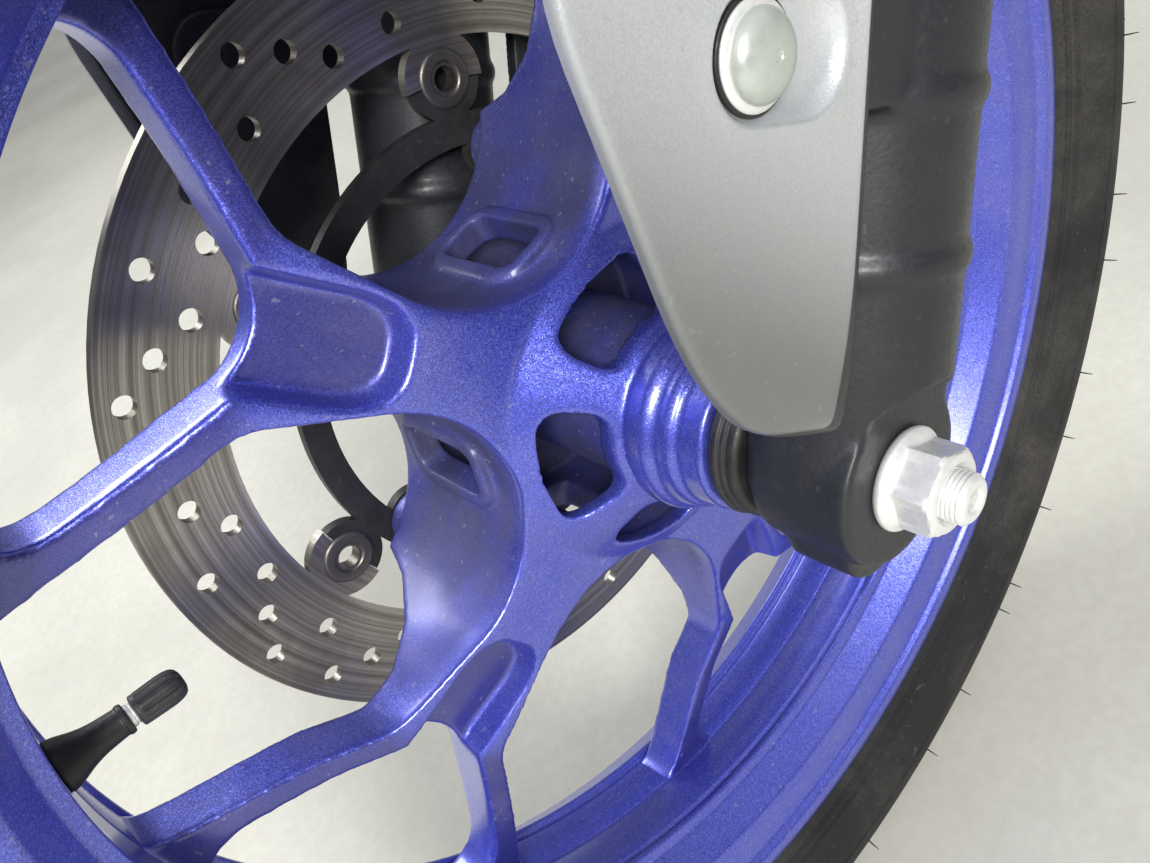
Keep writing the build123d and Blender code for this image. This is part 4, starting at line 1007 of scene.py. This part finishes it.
# The pieces on their bodies
dress(wheel_spokes(), "wheel", "wheel_paint", "wheel_casting")
dress(rim(), "wheel", "wheel_paint", "wheel_casting")
dress(hub_collars(), "wheel", "wheel_paint", "wheel_casting")
dress(tyre(), "wheel", "tyre_rubber", "tyre")
dress(sidewall_ribs(), "wheel", "tyre_rubber", "tyre")
dress(moulding_hairs(), "wheel", "tyre_rubber", "tyre")
dress(brake_bobbins(), "wheel", "bobbin_steel", "disc_bobbins")
stem, thread, cap = valve()
dress(stem, "wheel", "seal_rubber", "valve_stem")
dress(thread, "wheel", "plated_steel", "valve_collar")
dress(cap, "wheel", "black_plastic", "valve_cap")
dress(axle_with_thread(), "fork", "plated_steel", "axle")
dress(axle_nut(), "fork", "plated_steel", "axle_nut")
dress(spacer_collar(), "fork", "seal_rubber", "spacer_left")
for name, node, slot, voxel, rounds, triangles in (
        ("near_slider", "slider_left", "slider_paint", 1.0, 14, 80000),
        ("far_slider", "slider_right", "slider_paint", 1.1, 10, 60000),
        ("caliper_casting", "caliper_body", "carrier_black", 1.1, 5, 40000),
        ("bracket_casting", "caliper_bracket", "slider_paint", 1.1, 5, 24000)):
    dress(cast(name, node, voxel, rounds, triangles), "fork", slot, node)
guard = guard_shape()
for side, way in (("left", 1), ("right", -1)):
    dress(guard_panel("guard_panel_" + side, guard, way), "fork", "guard_paint", "guard_" + side)
    dress(guard_lip_and_shadow("guard_lip_and_shadow_" + side, guard, way), "fork", "black_plastic", "guard_" + side)
    bolts = "guard_bolts_" + side
    dress(at_bolts("guard_flanges_" + side, FLANGE, way), "fork", "plated_steel", bolts)
    heads = dress(at_bolts("guard_heads_" + side, DOME, way), "fork", "plated_steel", bolts)
    heads.data.materials[0] = BOLT_PEARL
    dress(at_bolts("bolt_rings_" + side, DARK_RING, way, ring=True), "fork", "seal_rubber", bolts)


# Floor, world and lamps
def lay_floor():
    """A plain pale floor under the tyre."""
    mesh = bpy.data.meshes.new("floor")
    work = bmesh.new()
    bmesh.ops.create_grid(work, x_segments=1, y_segments=1, size=6.0)
    bmesh.ops.translate(work, verts=work.verts, vec=(0, 0, FLOOR_HEIGHT))
    work.to_mesh(mesh)
    work.free()
    floor = new_object("floor", mesh)
    f = Finish("pale floor", Roughness=0.85)
    broad = f.ramp(f.noise(f.place, 3.0, 5.0, 0.6), 0.35, 0.65)
    speck = f.ramp(f.noise(f.place, 160.0, 3.0, 0.6), 0.3, 0.7, 0.0, 0.25)
    tone = f.mix(broad, colour(0.60, 0.59, 0.52), colour(0.70, 0.69, 0.61))
    tone = f.mix(speck, tone, colour(0.50, 0.48, 0.42))
    mesh.materials.append(f.out(Base_Color=tone))


def lamp(name, offset, size, power, tint):
    """A soft rectangular lamp that points at the wheel's middle."""
    data = bpy.data.lights.new(name, "AREA")
    data.shape = "RECTANGLE"
    data.size, data.size_y = size
    data.energy = power
    data.color = tint
    offset = Vector(offset)
    turn = offset.to_track_quat("Z", "Y").to_matrix().to_4x4()
    new_object(name, data).matrix_world = Matrix.Translation(WHEEL_CENTRE + offset) @ turn


def studio_sky():
    """Soft light from above, dim towards the horizon."""
    world = bpy.data.worlds.new("studio")
    world.use_nodes = True
    sky = Shader(world.node_tree)
    _, _, height = sky.split(sky.node("TexCoord").outputs["Generated"])
    tone = sky.mix(sky.ramp(height, 0.05, 0.75), colour(0.20, 0.205, 0.215),
                   colour(0.98, 1.0, 1.04))
    sky.set(sky.nodes["Background"], Color=tone, Strength=0.58)
    return world


lay_floor()
scene.world = studio_sky()
lamp("back_light", (0.35, -1.45, 1.35), size=(1.1, 0.6), power=24, tint=(0.97, 0.98, 1.0))
lamp("front_light", (1.0, 1.4, 1.15), size=(0.6, 0.6), power=48, tint=(1.0, 0.99, 0.98))
scene.view_settings.view_transform = "Standard"
